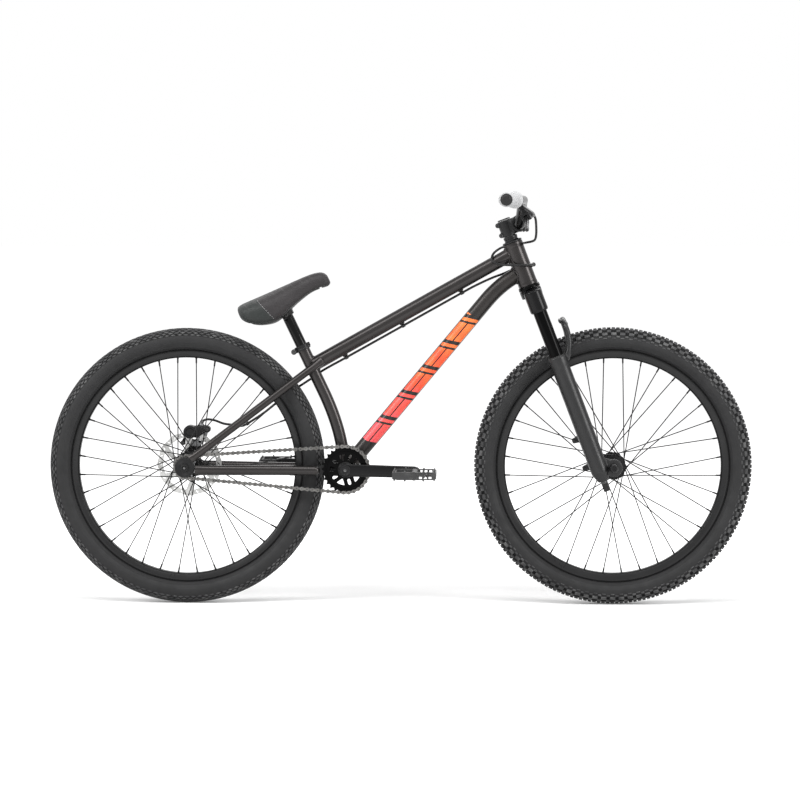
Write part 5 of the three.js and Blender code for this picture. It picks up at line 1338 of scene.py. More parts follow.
clamp_head = spun([(0, 0), (5.8, 0), (5.8, 3), (4.8, 3.9), (2.8, 3.9), (2.6, 1.6), (0, 1.6)], 0.4, 28)
for hand in HANDS.values():
    clamp.add(clamp_head, dark_steel, basis(CLAMP_BOLT + CROSSWISE * hand * 9.8, CROSSWISE * hand))
clamp.piece("post_clamp", "frame", ["seat_clamp"])


def carved(form, *tools):
    """The form less each of the tools, all closed."""
    for tool in tools:
        body = in_scene("carving", box_mesh("carving", *form))
        other = in_scene("tool", box_mesh("tool", *tool))
        work = bmesh.new()
        work.from_mesh(other.data)
        bmesh.ops.recalc_face_normals(work, faces=work.faces)
        work.to_mesh(other.data)
        work.free()
        cutting = body.modifiers.new("Boolean", "BOOLEAN")
        cutting.operation = "DIFFERENCE"
        cutting.solver = "EXACT"
        cutting.object = other
        form = evaluated(body)
        bpy.data.objects.remove(body)
        bpy.data.objects.remove(other)
    return form


def bolt_head(radius, height, socket):
    """A cap screw's head with a hollow in it, standing on the plane z = 0."""
    return spun([
        (0, -1), (radius, -1), (radius, height), (socket, height), (socket * 0.95, height * 0.35),
        (0, height * 0.3),
    ], 0.5, 24, 2)


def rod_across(x, z, half, radius, sides, ease):
    """A round bar across the mid-plane, as long on both sides."""
    return rod((x, -half, z), (x, half, z), radius, sides=sides, ease=ease)


# Fork, in the frame of the head tube: x forward, z up its axis
LEG_X = 3
LEG_Y = 62
CROWN_FOOT = -67.8
CROWN_TOP = -14.2
DUST_SEAL = -184
FORK_FOOT = -506.6
BOSS_RADIUS = 21.6


def at_leg(hand, z=0.0):
    return Matrix.Translation((LEG_X, hand * LEG_Y, z))


def leg_rod(hand, low, high, radius, sides, ease):
    return rod((LEG_X, hand * LEG_Y, low), (LEG_X, hand * LEG_Y, high), radius, sides=sides, ease=ease)


def bridge():
    """The crown between the legs, deeper towards them."""
    rings = []
    for i in range(33):
        y = -LEG_Y + 2 * LEG_Y * i / 32
        off = min(max((abs(y) - 30) / (LEG_Y - 30), 0), 1)
        high = -10 - 4 * off
        low = -40 - 10 * off
        middle, half = (high + low) / 2, (high - low) / 2
        rings.append([Vector((LEG_X + 18.6 * c, y, middle + half * s)) for c, s in boxy_ring(32, 0.5, 0.6)])
    return skin(rings)


crown_forms = [bridge()]
crown_forms += [leg_rod(hand, CROWN_FOOT, CROWN_TOP, 22.4, 56, 4) for hand in (-1, 1)]
crown_forms.append(rod((0, 0, -29), (0, 0, -10.2), 26.6, 27, sides=64, ease=1.5))
crown = Shape().add(fused(crown_forms, 1.3, 5), crank_black, HEAD)
lip = spun([(17.4, -69.6), (20.6, -69.6), (20.8, -66), (17.4, -66), (17.4, -69.6)], 0.7, 56)
plug = spun([
    (0, -14.8), (13, -14.8), (13, -13.9), (11.8, -13.2), (5, -13.2), (4.5, -14.2), (0, -14.2),
], 0.4, 40)
for hand in (-1, 1):
    crown.add(lip, satin_black, HEAD @ at_leg(hand, 1.8))
    crown.add(plug, dark_steel, HEAD @ at_leg(hand, -0.8))
crown.add(rod((0, 0, -12), (0, 0, 166.8), 14.2, sides=40), dark_steel, HEAD)
crown.piece("crown", "steering", ["fork_crown"])

for label, hand in HANDS.items():
    tube = Shape().add(leg_rod(hand, -329, -20, 16.9, 72, 1), gloss_black, HEAD)
    tube.piece(f"inner_leg_{label}", "steering", [f"stanchion_{label}"])


def arch_size(share):
    root = max(0, 1 - min(share, 1 - share) / 0.12)
    return 8.6 + 1.6 * root, 7.6 + 2.4 * root


def lower_leg(hand):
    """A leg with the boss that holds the axle ahead of it, and a web between the two."""
    leg = spun([
        (0, FORK_FOOT), (12.4, FORK_FOOT), (14, -504.5), (22.1, -484), (22.2, -215), (23.2, -205),
        (23.6, -188), (22.6, DUST_SEAL), (0, DUST_SEAL),
    ], 2.5, 64)
    boss_from = (AXLE_AHEAD, hand * 50.4, -FORK_LENGTH)
    boss_to = (AXLE_AHEAD, hand * 67.8, -FORK_LENGTH)
    web = [(LEG_X, -490), (36, -505.5), (52, -500), (40, -465), (LEG_X, -440)]
    return [
        placed(leg, at_leg(hand)),
        rod(boss_from, boss_to, BOSS_RADIUS, sides=56, ease=2.5),
        upright(web, 8, *on_side(hand, 52.5, 66.5), 2),
    ]


LUG_HEIGHTS = (-400, -473)
half_arch = [
    (20.8, 57.5, -196.4), (34, 57.6, -182), (43, 54.6, -163), (47.4, 49.5, -140), (48, 42.2, -120.8),
    (48, 18, -110.4),
]
arch_path = [Vector(p) for p in half_arch] + [Vector((x, -y, z)) for x, y, z in reversed(half_arch)]
leg_forms = lower_leg(-1) + lower_leg(1)
leg_forms.append(sweep(spline(arch_path, 8), arch_size, 24))
leg_forms.append(upright([(39, -102), (57.7, -118), (55.5, -124), (47, -121), (36, -110)], 2.5, -37, 37, 2))
for z in LUG_HEIGHTS:
    leg_forms.append(upright([(-35, z - 6), (4, z - 12), (4, z + 12), (-35, z + 6)], 3, 55.4, 68.6, 1.6))
bores = [leg_rod(hand, -470, -150, 17.3, 48, 0.2) for hand in (-1, 1)]
lug_holes = [rod((-45, LEG_Y, z), (-26, LEG_Y, z), 3.2, sides=20, ease=0.1) for z in LUG_HEIGHTS]
lowers = Shape().add(carved(fused(leg_forms, 1.5, 6), *bores, *lug_holes), lowers_black, HEAD)
seal = spun([
    (17.3, -186), (22.4, -186), (22.6, DUST_SEAL), (21, -182.2), (17.6, -182.2), (17.3, -183), (17.3, -186),
], 0.5, 64)
for hand in (-1, 1):
    lowers.add(seal, hard_plastic, HEAD @ at_leg(hand))
lowers.add(collar(8.4, 12.2, -507, -504, 0.5, 40), dark_steel, HEAD @ at_leg(-1, 0.2))
foot_cap = spun([(0, -507), (9.5, -507), (9.5, -505), (0, -505)], 0.5, 32)
lowers.add(foot_cap, dark_steel, HEAD @ at_leg(1, 0.2))
lowers.piece("lower_legs", "lowers", ["fork_lowers"], crease=45)

front_axle = Shape()
front_axle.add(rod(FRONT - CROSSWISE * 82, FRONT + CROSSWISE * 84, 7.3, sides=32, ease=1.2), dark_steel)
axle_cap = spun([
    (0, 67.9), (10.8, 67.9), (10.8, 80), (10.2, 84.5), (8.4, 88.1), (5.4, 88.1), (4.8, 84), (0, 84),
], 0.9, 44)
front_axle.add(axle_cap, satin_black, basis(FRONT, -CROSSWISE))
front_axle.piece("thru_axle", "lowers", ["front_axle"])

dial = Shape()
dial_place = HEAD @ at_leg(-1)
dial.add(slab(rippled(7.6, 0.3, 24, 96), -533, -513.5, ease=1.2), hard_plastic, dial_place)
dial_neck = spun([(0, -513.8), (7.9, -513.8), (7.9, -507.6), (0, -507.6)], 0.6, 48)
dial.add(dial_neck, dark_steel, dial_place)
dial.add(block((-0.8, 2, -533.6), (0.8, 7, -532.2), 0.2), grey_metal, dial_place)
dial.piece("damping_dial", "knob", ["rebound_knob"])

# Stem and its cap, in the same frame
BAR_X = 33
BAR_Z = 149
STEM_CLAMP_HALF = 24.8
STEM_CLAMP_RADIUS = 20.8
PINCH_BOLT_HEIGHTS = (136, 162)
FACE_BOLTS = [(y, z) for z in (132.5, 165.5) for y in (-16.6, 16.6)]
bar_hole = rod_across(BAR_X, BAR_Z, 40, 16, 56, 0.1)
bar_clamp = rod_across(BAR_X, BAR_Z, STEM_CLAMP_HALF, STEM_CLAMP_RADIUS, 64, 2)
neck = []
for i in range(15):
    share = i / 14
    section = boxy_ring(32, 0.55, 0.55)
    neck.append([Vector((-4 + 38 * share, (16.5 + 3 * share) * c, BAR_Z + 19.4 * s)) for c, s in section])
stem_forms = [rod((0, 0, 129.2), (0, 0, 168.8), 18.4, sides=56, ease=2), skin(neck), bar_clamp]
for z in PINCH_BOLT_HEIGHTS:
    stem_forms.append(rod_across(-19, z, 13.8, 6, 28, 1))
    stem_forms.append(boxed((-19, -13.6, z - 5.6), (-6, 13.6, z + 5.6)))
stem_form = carved(
    fused(stem_forms, 0.9, 5),
    boxed((BAR_X + 0.1, -40, 100), (BAR_X + 60, 40, 200)),
    bar_hole,
    boxed((-40, -0.8, 120), (-14.5, 0.8, 180)),
)
stem = Shape().add(stem_form, satin_black, HEAD)
pinch_head = bolt_head(4, 2.6, 1.9)
for z in PINCH_BOLT_HEIGHTS:
    stem.add(rod((-20, -12, z), (-20, 12, z), 2.6, sides=18), dark_steel, HEAD)
    for hand in (-1, 1):
        stem.add(pinch_head, dark_steel, HEAD @ basis((-19.4, hand * 11.6, z), CROSSWISE * hand))
stem.piece("stem", "steering", ["stem_body"])

plate_forms = [bar_clamp]
for y, z in FACE_BOLTS:
    plate_forms.append(rod((BAR_X, y, z), (BAR_X + 14, y, z), 7, 6, sides=28, ease=1.5))
face_form = carved(
    fused(plate_forms, 0.8, 5),
    boxed((BAR_X - 60, -40, 100), (BAR_X + 0.5, 40, 200)),
    bar_hole,
    boxed((BAR_X - 1, -8.5, BAR_Z - 7.5), (BAR_X + 40, 8.5, BAR_Z + 7.5)),
)
face = Shape().add(face_form, satin_black, HEAD)
for y, z in FACE_BOLTS:
    face.add(bolt_head(3.9, 3.4, 1.9), dark_steel, HEAD @ basis((BAR_X + 14, y, z), FORWARD))
face.piece("stem_front", "steering", ["stem_faceplate"])

cap = Shape()
cap.add(spun([
    (0, 169.4), (15.9, 169.4), (15.9, 171.2), (14.4, 172.7), (6.4, 172.7), (5.6, 171.6), (0, 171.6),
], 0.7, 56), satin_black, HEAD)
cap.add(bolt_head(3.8, 1, 1.9), dark_steel, HEAD @ Matrix.Translation((0, 0, 171.6)))
cap.piece("top_cap", "steering", ["stem_cap"])

# Handlebar. Its bends are shares (along, up, ahead) of half its width, its rise and its sweep
BAR_MIDDLE = HEAD @ Vector((BAR_X, 0, BAR_Z))
BAR_HALF = 383
BAR_RISE = 57
BAR_SWEEP = 33.9
BEND_SHARES = (
    (0, 0, 0), (0.075, 0, 0), (0.12, 0.1, 0.03), (0.18, 0.45, 0.11), (0.25, 0.83, 0.19), (0.31, 0.98, 0.23),
)
TIP_SHARES = (1, 1, -1)


def bar_place(shares, hand):
    along, up, ahead = shares
    return BAR_MIDDLE + Vector((ahead * BAR_SWEEP, hand * along * BAR_HALF, up * BAR_RISE))


def half_bar(hand):
    bends = spline([bar_place(shares, hand) for shares in BEND_SHARES], 8)
    last = bar_place(TIP_SHARES, hand)
    return bends + [bends[-1].lerp(last, k / 20) for k in range(1, 21)]


def round_ring(centre, along, across, radius, sides):
    third = along.cross(across)
    return [centre + across * x + third * y for x, y in circle(radius, sides)]


bar_line = half_bar(-1)[::-1] + half_bar(1)[1:]
bar_rings = []
for i, here in enumerate(bar_line):
    along = (bar_line[min(i + 1, len(bar_line) - 1)] - bar_line[max(i - 1, 0)]).normalized()
    across = (UPWARD - along * UPWARD.dot(along)).normalized()
    blend = min(max((abs(here.y) - 29) / 37, 0), 1)
    radius = 15.8 - 4.8 * blend * blend * (3 - 2 * blend)
    bar_rings.append(round_ring(here, along, across, radius, 40))
Shape().add(skin(bar_rings), post_black).piece("bar", "steering", ["handlebar"])

# Grips: a closed section as (radius, distance from the end), with grooves between two flanges
grip_profile = [(11.3, 1), (15.4, 0.6), (17, 1.6), (17.3, 4), (16.6, 6)]
for k in range(37):
    at = 8 + k * 3.05
    grip_profile += [(16.3, at), (16.3, at + 1.2), (15.4, at + 1.7), (15.4, at + 2.5)]
grip_profile += [(16.3, 122.4), (17, 124.6), (20, 126.4), (20.3, 129.2), (19, 130.8), (11.3, 130.8)]
grip_profile.append(grip_profile[0])
grip_form = lathe(grip_profile, 56)
end_plug = spun([(0, -4.6), (9, -4.8), (9.8, -3.6), (14, -3), (14.2, 0.8), (0, 0.8)], 0.8, 44)
for label, hand in HANDS.items():
    end = bar_place(TIP_SHARES, hand)
    place = basis(end, bar_place(BEND_SHARES[-1], hand) - end, UPWARD)
    grip = Shape().add(grip_form, grip_rubber, place).add(end_plug, hard_plastic, place)
    grip.piece(f"hand_grip_{label}", "steering", [f"grip_{label}"], "grip", crease=50)

# Brake lever, in its own frame: y along the bar, x ahead of it, the bar's middle at its origin
LEVER = Matrix((
    (0.4938, 0.1564, 0.8554, 283.767),
    (-0.0782, 0.9877, -0.1354, -215),
    (-0.866, 0, 0.5, 987.095),
    (0, 0, 0, 1),
))
LEVER_PIVOT_X = 50
LEVER_PIVOT_Y = -16


def pivot_rod(half, radius, sides, ease, x=LEVER_PIVOT_X, y=LEVER_PIVOT_Y):
    return rod((x, y, -half), (x, y, half), radius, sides=sides, ease=ease)


lever_forms = [
    rod_across(0, 0, 6.4, 15.3, 44, 1.2),
    boxed((8, -6.2, -6.2), (36, 6.2, 6.2)),
    rod((36, -12, 0), (36, 34, 0), 8.9, sides=36, ease=2),
    boxed((36, -22, -10.8), (LEVER_PIVOT_X, -6, 10.8)),
    pivot_rod(10.8, 6.9, 32, 1),
    boxed((36, 17.4, 0), (47, 33.8, 8.8)),
    rod((47, 17, 9), (47, 34, 9), 5, sides=24, ease=0.8),
    upright([(12, 2), (46, 17), (51, 16), (53, 6), (40, -5), (14, -5)], 3, -6, 31, 2.5),
]
lever_form = carved(
    fused(lever_forms, 0.75, 4),
    rod_across(0, 0, 20, 11.4, 40, 0.1),
    boxed((42.6, -60, -4.8), (90, -8.6, 4.8)),
    boxed((-30, -10, -0.7), (-10, 10, 0.7)),
)
lever_body = Shape().add(lever_form, satin_black, LEVER)
# A thin grey strip along the top edge of the body: a painted highlight
top_edge_highlight = upright([(15, 4.4), (44, 17.2), (44.5, 15.8), (15.5, 3)], 0.5, -3, 28, 0.4)
lever_body.add(top_edge_highlight, dark_steel, LEVER)
lever_body.add(pivot_rod(11.1, 3.3, 24, 0.6), grey_metal, LEVER)
lever_body.add(rod((47, 33, 9), (47, 39.8, 9), 4.7, 3.4, sides=24, ease=0.8), grey_metal, LEVER)
for up in (-1, 1):
    lever_body.add(bolt_head(2.6, 1.6, 1.2), dark_steel, LEVER @ basis((24, 0, up * 6.4), UPWARD * up))
lever_body.piece("brake_master", "steering", ["brake_lever_body"])

# The blade's line as shares of its reach outward and along the bar
BLADE_SHARES = ((0, 0), (0.3, 0.24), (0.56, 0.58), (0.8, 0.82), (1, 1))
BLADE_HOLES = ((64, -56), (69.6, -71), (57.4, -38))
blade_path = [Vector((LEVER_PIVOT_X + out * 32, LEVER_PIVOT_Y - on * 103, 0)) for out, on in BLADE_SHARES]
blade_line = spline(blade_path, 8)
blade_rings = []
for i, here in enumerate(blade_line):
    share = i / (len(blade_line) - 1)
    along = (blade_line[min(i + 1, len(blade_line) - 1)] - blade_line[max(i - 1, 0)]).normalized()
    across = UPWARD.cross(along)
    thinner = 1 - 0.5 * max(0, (share - 0.95) / 0.05) ** 2
    wide = (4.9 - 1.1 * share) * thinner
    tall = 4.2 * thinner
    blade_rings.append([here + across * (wide * c) + UPWARD * (tall * s) for c, s in boxy_ring(24, 0.7, 0.7)])
blade_form = carved(
    fused([skin(blade_rings), pivot_rod(4.3, 6.6, 32, 1)], 0.7, 4),
    pivot_rod(20, 3.6, 24, 0.1),
    *[pivot_rod(20, 1.9, 20, 0.1, x, y) for x, y in BLADE_HOLES],
)
Shape().add(blade_form, satin_black, LEVER).piece("lever_blade", "lever", ["brake_lever_blade"])

# Rear brake, in the frame of its mount: z outward from the axle, x along the rim
MOUNT = Matrix.Translation(REAR) @ Matrix.Rotation(MOUNT_ANGLE * DEGREE, 4, "Y")
PISTON_X, PISTON_Z = -13, 78
BANJO_X, BANJO_Z = 10, 99
BODY_BOLTS = ((27, 92, 42.2), (-27, 46, 57.6))


def crosswise_rod(x, z, from_y, to_y, radius, sides, ease):
    return rod((x, from_y, z), (x, to_y, z), radius, sides=sides, ease=ease)


caliper_forms = [
    crosswise_rod(PISTON_X, PISTON_Z, 34.6, 69.4, 16.4, 48, 2),
    crosswise_rod(5, 83, 36.6, 67.4, 13, 40, 2),
    upright([(-18, 66), (8, 68), (19, 82), (18, 93), (6, 97), (-12, 93)], 4, 37.6, 66.4, 2),
    upright([(10, 84), (20, 88), (30, 88), (31, 98), (22, 102), (6, 97)], 4, 45, 65, 2),
    crosswise_rod(27, 92, 42, 66.4, 8.4, 32, 1),
    rod((BANJO_X, ROTOR_Y, 92), (BANJO_X, ROTOR_Y, BANJO_Z), 7, sides=28, ease=0.8),
    upright([(-28, 42), (-21, 42), (-10, 62), (-16, 70), (-25, 66), (-31, 50)], 4, 58.6, 66.6, 1.2),
    crosswise_rod(-27, 46, 57.6, 67.6, 6.2, 28, 0.8),
]
rotor_slot = boxed((-40, ROTOR_Y - 3.7, 40), (40, ROTOR_Y + 3.7, 90))
caliper = Shape().add(carved(fused(caliper_forms, 1.0, 7), rotor_slot), satin_black, MOUNT)
piston_cap = spun([(0, 0), (11, 0), (11, 1.2), (9, 2), (8.4, 0.8), (0, 0.8)], 0.4, 40)
for hand in (-1, 1):
    place = basis((PISTON_X, ROTOR_Y + hand * 15.8, PISTON_Z), CROSSWISE * hand)
    caliper.add(piston_cap, gloss_black, MOUNT @ place)
banjo = collar(2.6, 6.8, 98.6, 103.6, 0.8, 32)
caliper.add(banjo, grey_metal, MOUNT @ Matrix.Translation((BANJO_X, ROTOR_Y, 0)))
caliper.add(bolt_head(4.6, 3, 2), dark_steel, MOUNT @ Matrix.Translation((BANJO_X, ROTOR_Y, 101)))
body_bolt = bolt_head(4.4, 3, 2.2)
for x, z, inner_y in BODY_BOLTS:
    caliper.add(body_bolt, dark_steel, MOUNT @ basis((x, 66.4, z), CROSSWISE))
    caliper.add(body_bolt, dark_steel, MOUNT @ basis((x, inner_y, z), -CROSSWISE))
caliper.piece("brake_body", "frame", ["brake_caliper"])

adapter_arm = [(2, 44), (12, 43.5), (22, 54), (29, 74), (29, 89), (22, 90), (13, 74), (4, 62)]
adapter_form = carved(
    fused([boxed((-14, 58.5, 42.4), (11.6, 66.9, 56)), upright(adapter_arm, 3, 58.5, 66.9, 0.8)], 0.8, 4),
    crosswise_rod(14, 58, 40, 80, 4, 28, 0.1),
    crosswise_rod(21.5, 72, 40, 80, 3.6, 28, 0.1),
)
adapter = Shape().add(adapter_form, grey_metal, MOUNT)
for x in (-9, 5):
    adapter.add(bolt_head(3.6, 2, 1.7), dark_steel, MOUNT @ basis((x, 66.7, 48.8), CROSSWISE))
adapter.piece("caliper_bracket", "frame", ["caliper_adapter"], "grey_metal")


def rotor_side(hand, near, far):
    return sorted((ROTOR_Y + hand * near, ROTOR_Y + hand * far))


pad_back = [(-12.8, 65.6), (12.8, 65.6), (12.8, 80.4), (-12.8, 80.4)]
pad_lining = [(-11.4, 66.6), (-1, 66.6), (0, 68), (1, 66.6), (11.4, 66.6), (11.4, 79), (-11.4, 79)]
for name, hand in (("inner", -1), ("outer", 1)):
    pad = Shape()
    pad.add(upright(pad_back, 2.5, *rotor_side(hand, 2.6, 3.4), 0.15), grey_metal, MOUNT)
    pad.add(upright(pad_lining, 1.5, *rotor_side(hand, 1.35, 2.6), 0.15), hard_plastic, MOUNT)
    pad.piece(f"friction_pad_{name}", f"{name}_pad", [f"brake_pad_{name}"], "grey_metal")


# Saddle, in its own frame: x along it from tail to nose, z up, the pivot at its origin
SADDLE_ANGLE = 25
SADDLE = Matrix.Translation(PIVOT) @ Matrix.Rotation(-SADDLE_ANGLE * DEGREE, 4, "Y")
SADDLE_ALONG = SADDLE @ FORWARD - PIVOT
SADDLE_UP = SADDLE @ UPWARD - PIVOT
SADDLE_LENGTH = 236
SADDLE_TAIL = -104
SADDLE_HEIGHT = 75
SADDLE_HALF = 71
WELT_HEIGHT = 6.5

# Shares of the saddle's length, of its height for the top and the bottom, and of its half width
SADDLE_STATIONS = (
    (0, 0.82, 0.46, 0.62), (0.02, 0.865, 0.36, 0.78), (0.07, 0.89, 0.2, 0.95), (0.162, 0.876, 0.009, 1),
    (0.294, 0.856, -0.11, 0.958), (0.403, 0.85, -0.057, 0.845), (0.513, 0.845, 0.076, 0.704),
    (0.645, 0.844, 0.203, 0.535), (0.776, 0.84, 0.289, 0.408), (0.886, 0.81, 0.276, 0.338),
    (0.961, 0.73, 0.25, 0.282), (1, 0.56, 0.33, 0.17),
)


def saddle_rows(steps):
    """The stations as (x, top, bottom, half width) in millimetres, with smooth ones between them."""
    made = []
    for row in spline([Vector(row) for row in SADDLE_STATIONS], steps):
        x = row[0] * SADDLE_LENGTH + SADDLE_TAIL
        made.append((x, row[1] * SADDLE_HEIGHT, row[2] * SADDLE_HEIGHT, row[3] * SADDLE_HALF))
    return made


def saddle_ring(station, inset, ceiling=None):
    """A section drawn in on all sides, and cut off at a height over its bottom where a ceiling is given."""
    x, top, bottom, half = station
    ring = []
    for k in range(56):
        angle = TURN * (k + 0.5) / 56
        c, s = math.cos(angle), math.sin(angle)
        y = (half - inset) * bulged(c, 0.62)
        lift = (bulged(s, 0.62) + 1) / 2
        crown = 0.06 * SADDLE_HEIGHT * (s - abs(c)) if s > 0 else 0
        low = bottom + min(inset, 2)
        z = low + (top - min(inset, 2) - low) * lift + crown
        if ceiling is not None:
            z = min(z, bottom + ceiling)
        ring.append(Vector((x, y, z)))
    return ring


def swollen(holder, held, most, frames=20):
    """Lets a closed skin swell as padding under its cover does, no point further than a limit."""
    cloth = holder.modifiers.new("Cloth", "CLOTH")
    settings = cloth.settings
    settings.quality = 5
    settings.mass = 0.3
    settings.tension_stiffness = 25
    settings.compression_stiffness = 25
    settings.shear_stiffness = 10
    settings.bending_stiffness = 6
    settings.use_pressure = True
    settings.uniform_pressure_force = 4
    settings.effector_weights.gravity = 0
    settings.vertex_group_mass = held
    scene = bpy.context.scene
    starts = [v.co.copy() for v in holder.data.vertices]
    for number in range(1, frames + 1):
        scene.frame_set(number)
    ends, _ = evaluated(holder)
    holder.modifiers.remove(cloth)
    scene.frame_set(1)
    for vertex, before, after in zip(holder.data.vertices, starts, ends):
        step = after - before
        if step.length > most:
            step *= most / step.length
        vertex.co = before + step


floor_line = saddle_rows(5)


def nearest_row(x):
    return min(floor_line, key=lambda row: abs(row[0] - x))


def swollen_cover():
    """The cover's skin, held along its lower edge, swollen and smoothed."""
    rings = [saddle_ring(row, 1.8) for row in floor_line[1:-1]]
    points, faces = fused([skin(rings)], 4.2, 1)
    mesh = box_mesh("cover", [point * MM for point in points], faces)
    mesh.validate()
    cover = in_scene("saddle_padding", mesh)
    held = cover.vertex_groups.new(name="held")
    for vertex in mesh.vertices:
        local = vertex.co / MM
        if local.z < nearest_row(local.x)[2] + 7:
            held.add([vertex.index], 1.0, "REPLACE")
    swollen(cover, "held", 0.005)
    smoothing = cover.modifiers.new("Smooth", "SMOOTH")
    smoothing.iterations = 2
    rounding = cover.modifiers.new("Subdivision", "SUBSURF")
    rounding.levels = 1
    rounding.render_levels = 1
    points, faces = evaluated(cover)
    bpy.data.objects.remove(cover)
    return [point / MM for point in points], faces


def hollowed(point):
    """A point of the cover's underside, lifted between its edges so that the base shows below it."""
    _, _, bottom, half = nearest_row(point.x)
    inner = half - 7
    if point.z < bottom + 5 and abs(point.y) < inner and -89 < point.x < 105:
        return Vector((point.x, point.y, point.z + 3.4 * min((inner - abs(point.y)) / 3, 1)))
    return point


cover_points, cover_faces = swollen_cover()
post_space = boxed((-17.9, -16.3, -40), (17.9, 16.3, 17.9))
cover_form = carved(([hollowed(point) for point in cover_points], cover_faces), post_space)

# The seam between the top and the panel at the back, a straight line seen from the side
SEAM_X, SEAM_Z = -50, 66
SEAM_FALL = -3


def seam_height(x):
    return SEAM_Z + (x - SEAM_X) * SEAM_FALL


def cover_look():
    """Leather-like cover: a warm charcoal top, a cooler panel low at the back, grain and creases."""
    look = Look("saddle_leather")
    x = look.measured(PIVOT, SADDLE_ALONG)
    z = look.measured(PIVOT, SADDLE_UP)
    line = look.maths("ADD", look.product(x, SEAM_FALL), seam_height(0))
    below = look.ranged(look.maths("SUBTRACT", line, z), 0, 1, -0.5, 0.5)
    cloud = look.ranged(look.noise(26, 4), 0, 1)
    top = look.mixed(cloud, (0.017, 0.0152, 0.016), (0.025, 0.0224, 0.0236))
    panel = look.mixed(cloud, (0.013, 0.0155, 0.0148), (0.02, 0.023, 0.022))
    leaning = look.maths("ADD", x, look.product(z, 0.6))
    stripe = look.maths("SINE", look.product(leaning, 0.26))
    band = look.product(look.ranged(stripe, 0, 1, 0.82, 0.95), look.ranged(z, 0, 0.5, 48, 60))
    look.put("Base Color", look.mixed(band, look.mixed(below, top, panel), (0.05, 0.047, 0.048)))
    look.put("Roughness", look.ranged(look.noise(60, 4), 0.46, 0.6))
    cells = look.add("ShaderNodeTexVoronoi", feature="DISTANCE_TO_EDGE")
    cells.inputs["Scale"].default_value = 720
    look.join(look.place, cells.inputs["Vector"])
    grain = look.ranged(cells.outputs["Distance"], 0, 1, 0.0, 0.12)
    creases = look.bump(look.noise(38, 3), 0.25, 1.2)
    look.put("Normal", look.bump(grain, 0.35, 0.12, creases))
    look.put("Specular IOR Level", 0.28)
    look.put("Sheen Weight", 0.06)
    return look.material


padding = Shape().add(cover_form, cover_look(), SADDLE)
padding.piece("saddle_pad", "saddle", ["saddle_cover"], "saddle_cover", crease=50)

tree = BVHTree.FromPolygons(*cover_form)


def on_cover(hand, x, z, lift=0.0):
    """The place where the cover is met from one side, lifted off it, or None beyond its ends."""
    place = tree.ray_cast(Vector((x, hand * 160, z)), Vector((0, -hand, 0)))[0]
    return None if place is None else place + Vector((0, hand * lift, 0))


def seam(hand):
    """A seam's cord, smoothed over its neighbours."""
    line = []
    for k in range(70):
        x = -84 + k * 2.1
        place = on_cover(hand, x, seam_height(x), 0.1)
        if place is not None:
            line.append(place)
    last = len(line) - 1
    smooth = []
    for i in range(len(line)):
        near = [line[min(max(i + o, 0), last)] for o in (-2, -1, 0, 1, 2)]
        smooth.append(sum(near, Vector()) / 5)
    return smooth


trim = Shape()
for hand in (-1, 1):
    cord = seam(hand)
    trim.add(sweep(cord, 0.9, 10), hard_plastic, SADDLE)
    lift = Vector((0.9, hand * 0.25, 2.1))
    for here, there in zip(cord[1:], cord[2:]):
        start = here + lift
        end = here.lerp(there, 0.62) + lift
        stitch = [on_cover(hand, start.x, start.z, 0.05), on_cover(hand, end.x, end.z, 0.05)]
        if None not in stitch:
            trim.add(sweep(stitch, 0.35, 6), grip_rubber, SADDLE)
for hand in (-1, 1):
    welt = [on_cover(hand, row[0], row[2] + WELT_HEIGHT, 0.1) for row in floor_line[6:-6]]
    trim.add(sweep([place for place in welt if place is not None], 0.8, 8), hard_plastic, SADDLE)
trim.piece("saddle_seams", "saddle", (), "saddle_cover")

base_rows = [(x, top, bottom - 0.3, half) for x, top, bottom, half in floor_line if -85 < x < 101]
base_form = fused([
    skin([saddle_ring(row, 6.6, 8) for row in base_rows]),
    boxed((-17.2, -15.6, -4), (17.2, 15.6, 17.3)),
], 1.4, 3)
base_form = carved(
    base_form,
    rod((0, 0, -75), (0, 0, 1.5), 14.2, sides=48, ease=0.1),
    rod_across(0, 0, 12.2, 14, 48, 0.1),
)
base = Shape().add(base_form, hard_plastic, SADDLE)
for hand in (-1, 1):
    base.add(bolt_head(4.2, 1.2, 2), dark_steel, SADDLE @ basis((0, hand * 15.4, 0), CROSSWISE * hand))
base.piece("saddle_shell", "saddle", ["saddle_base"])

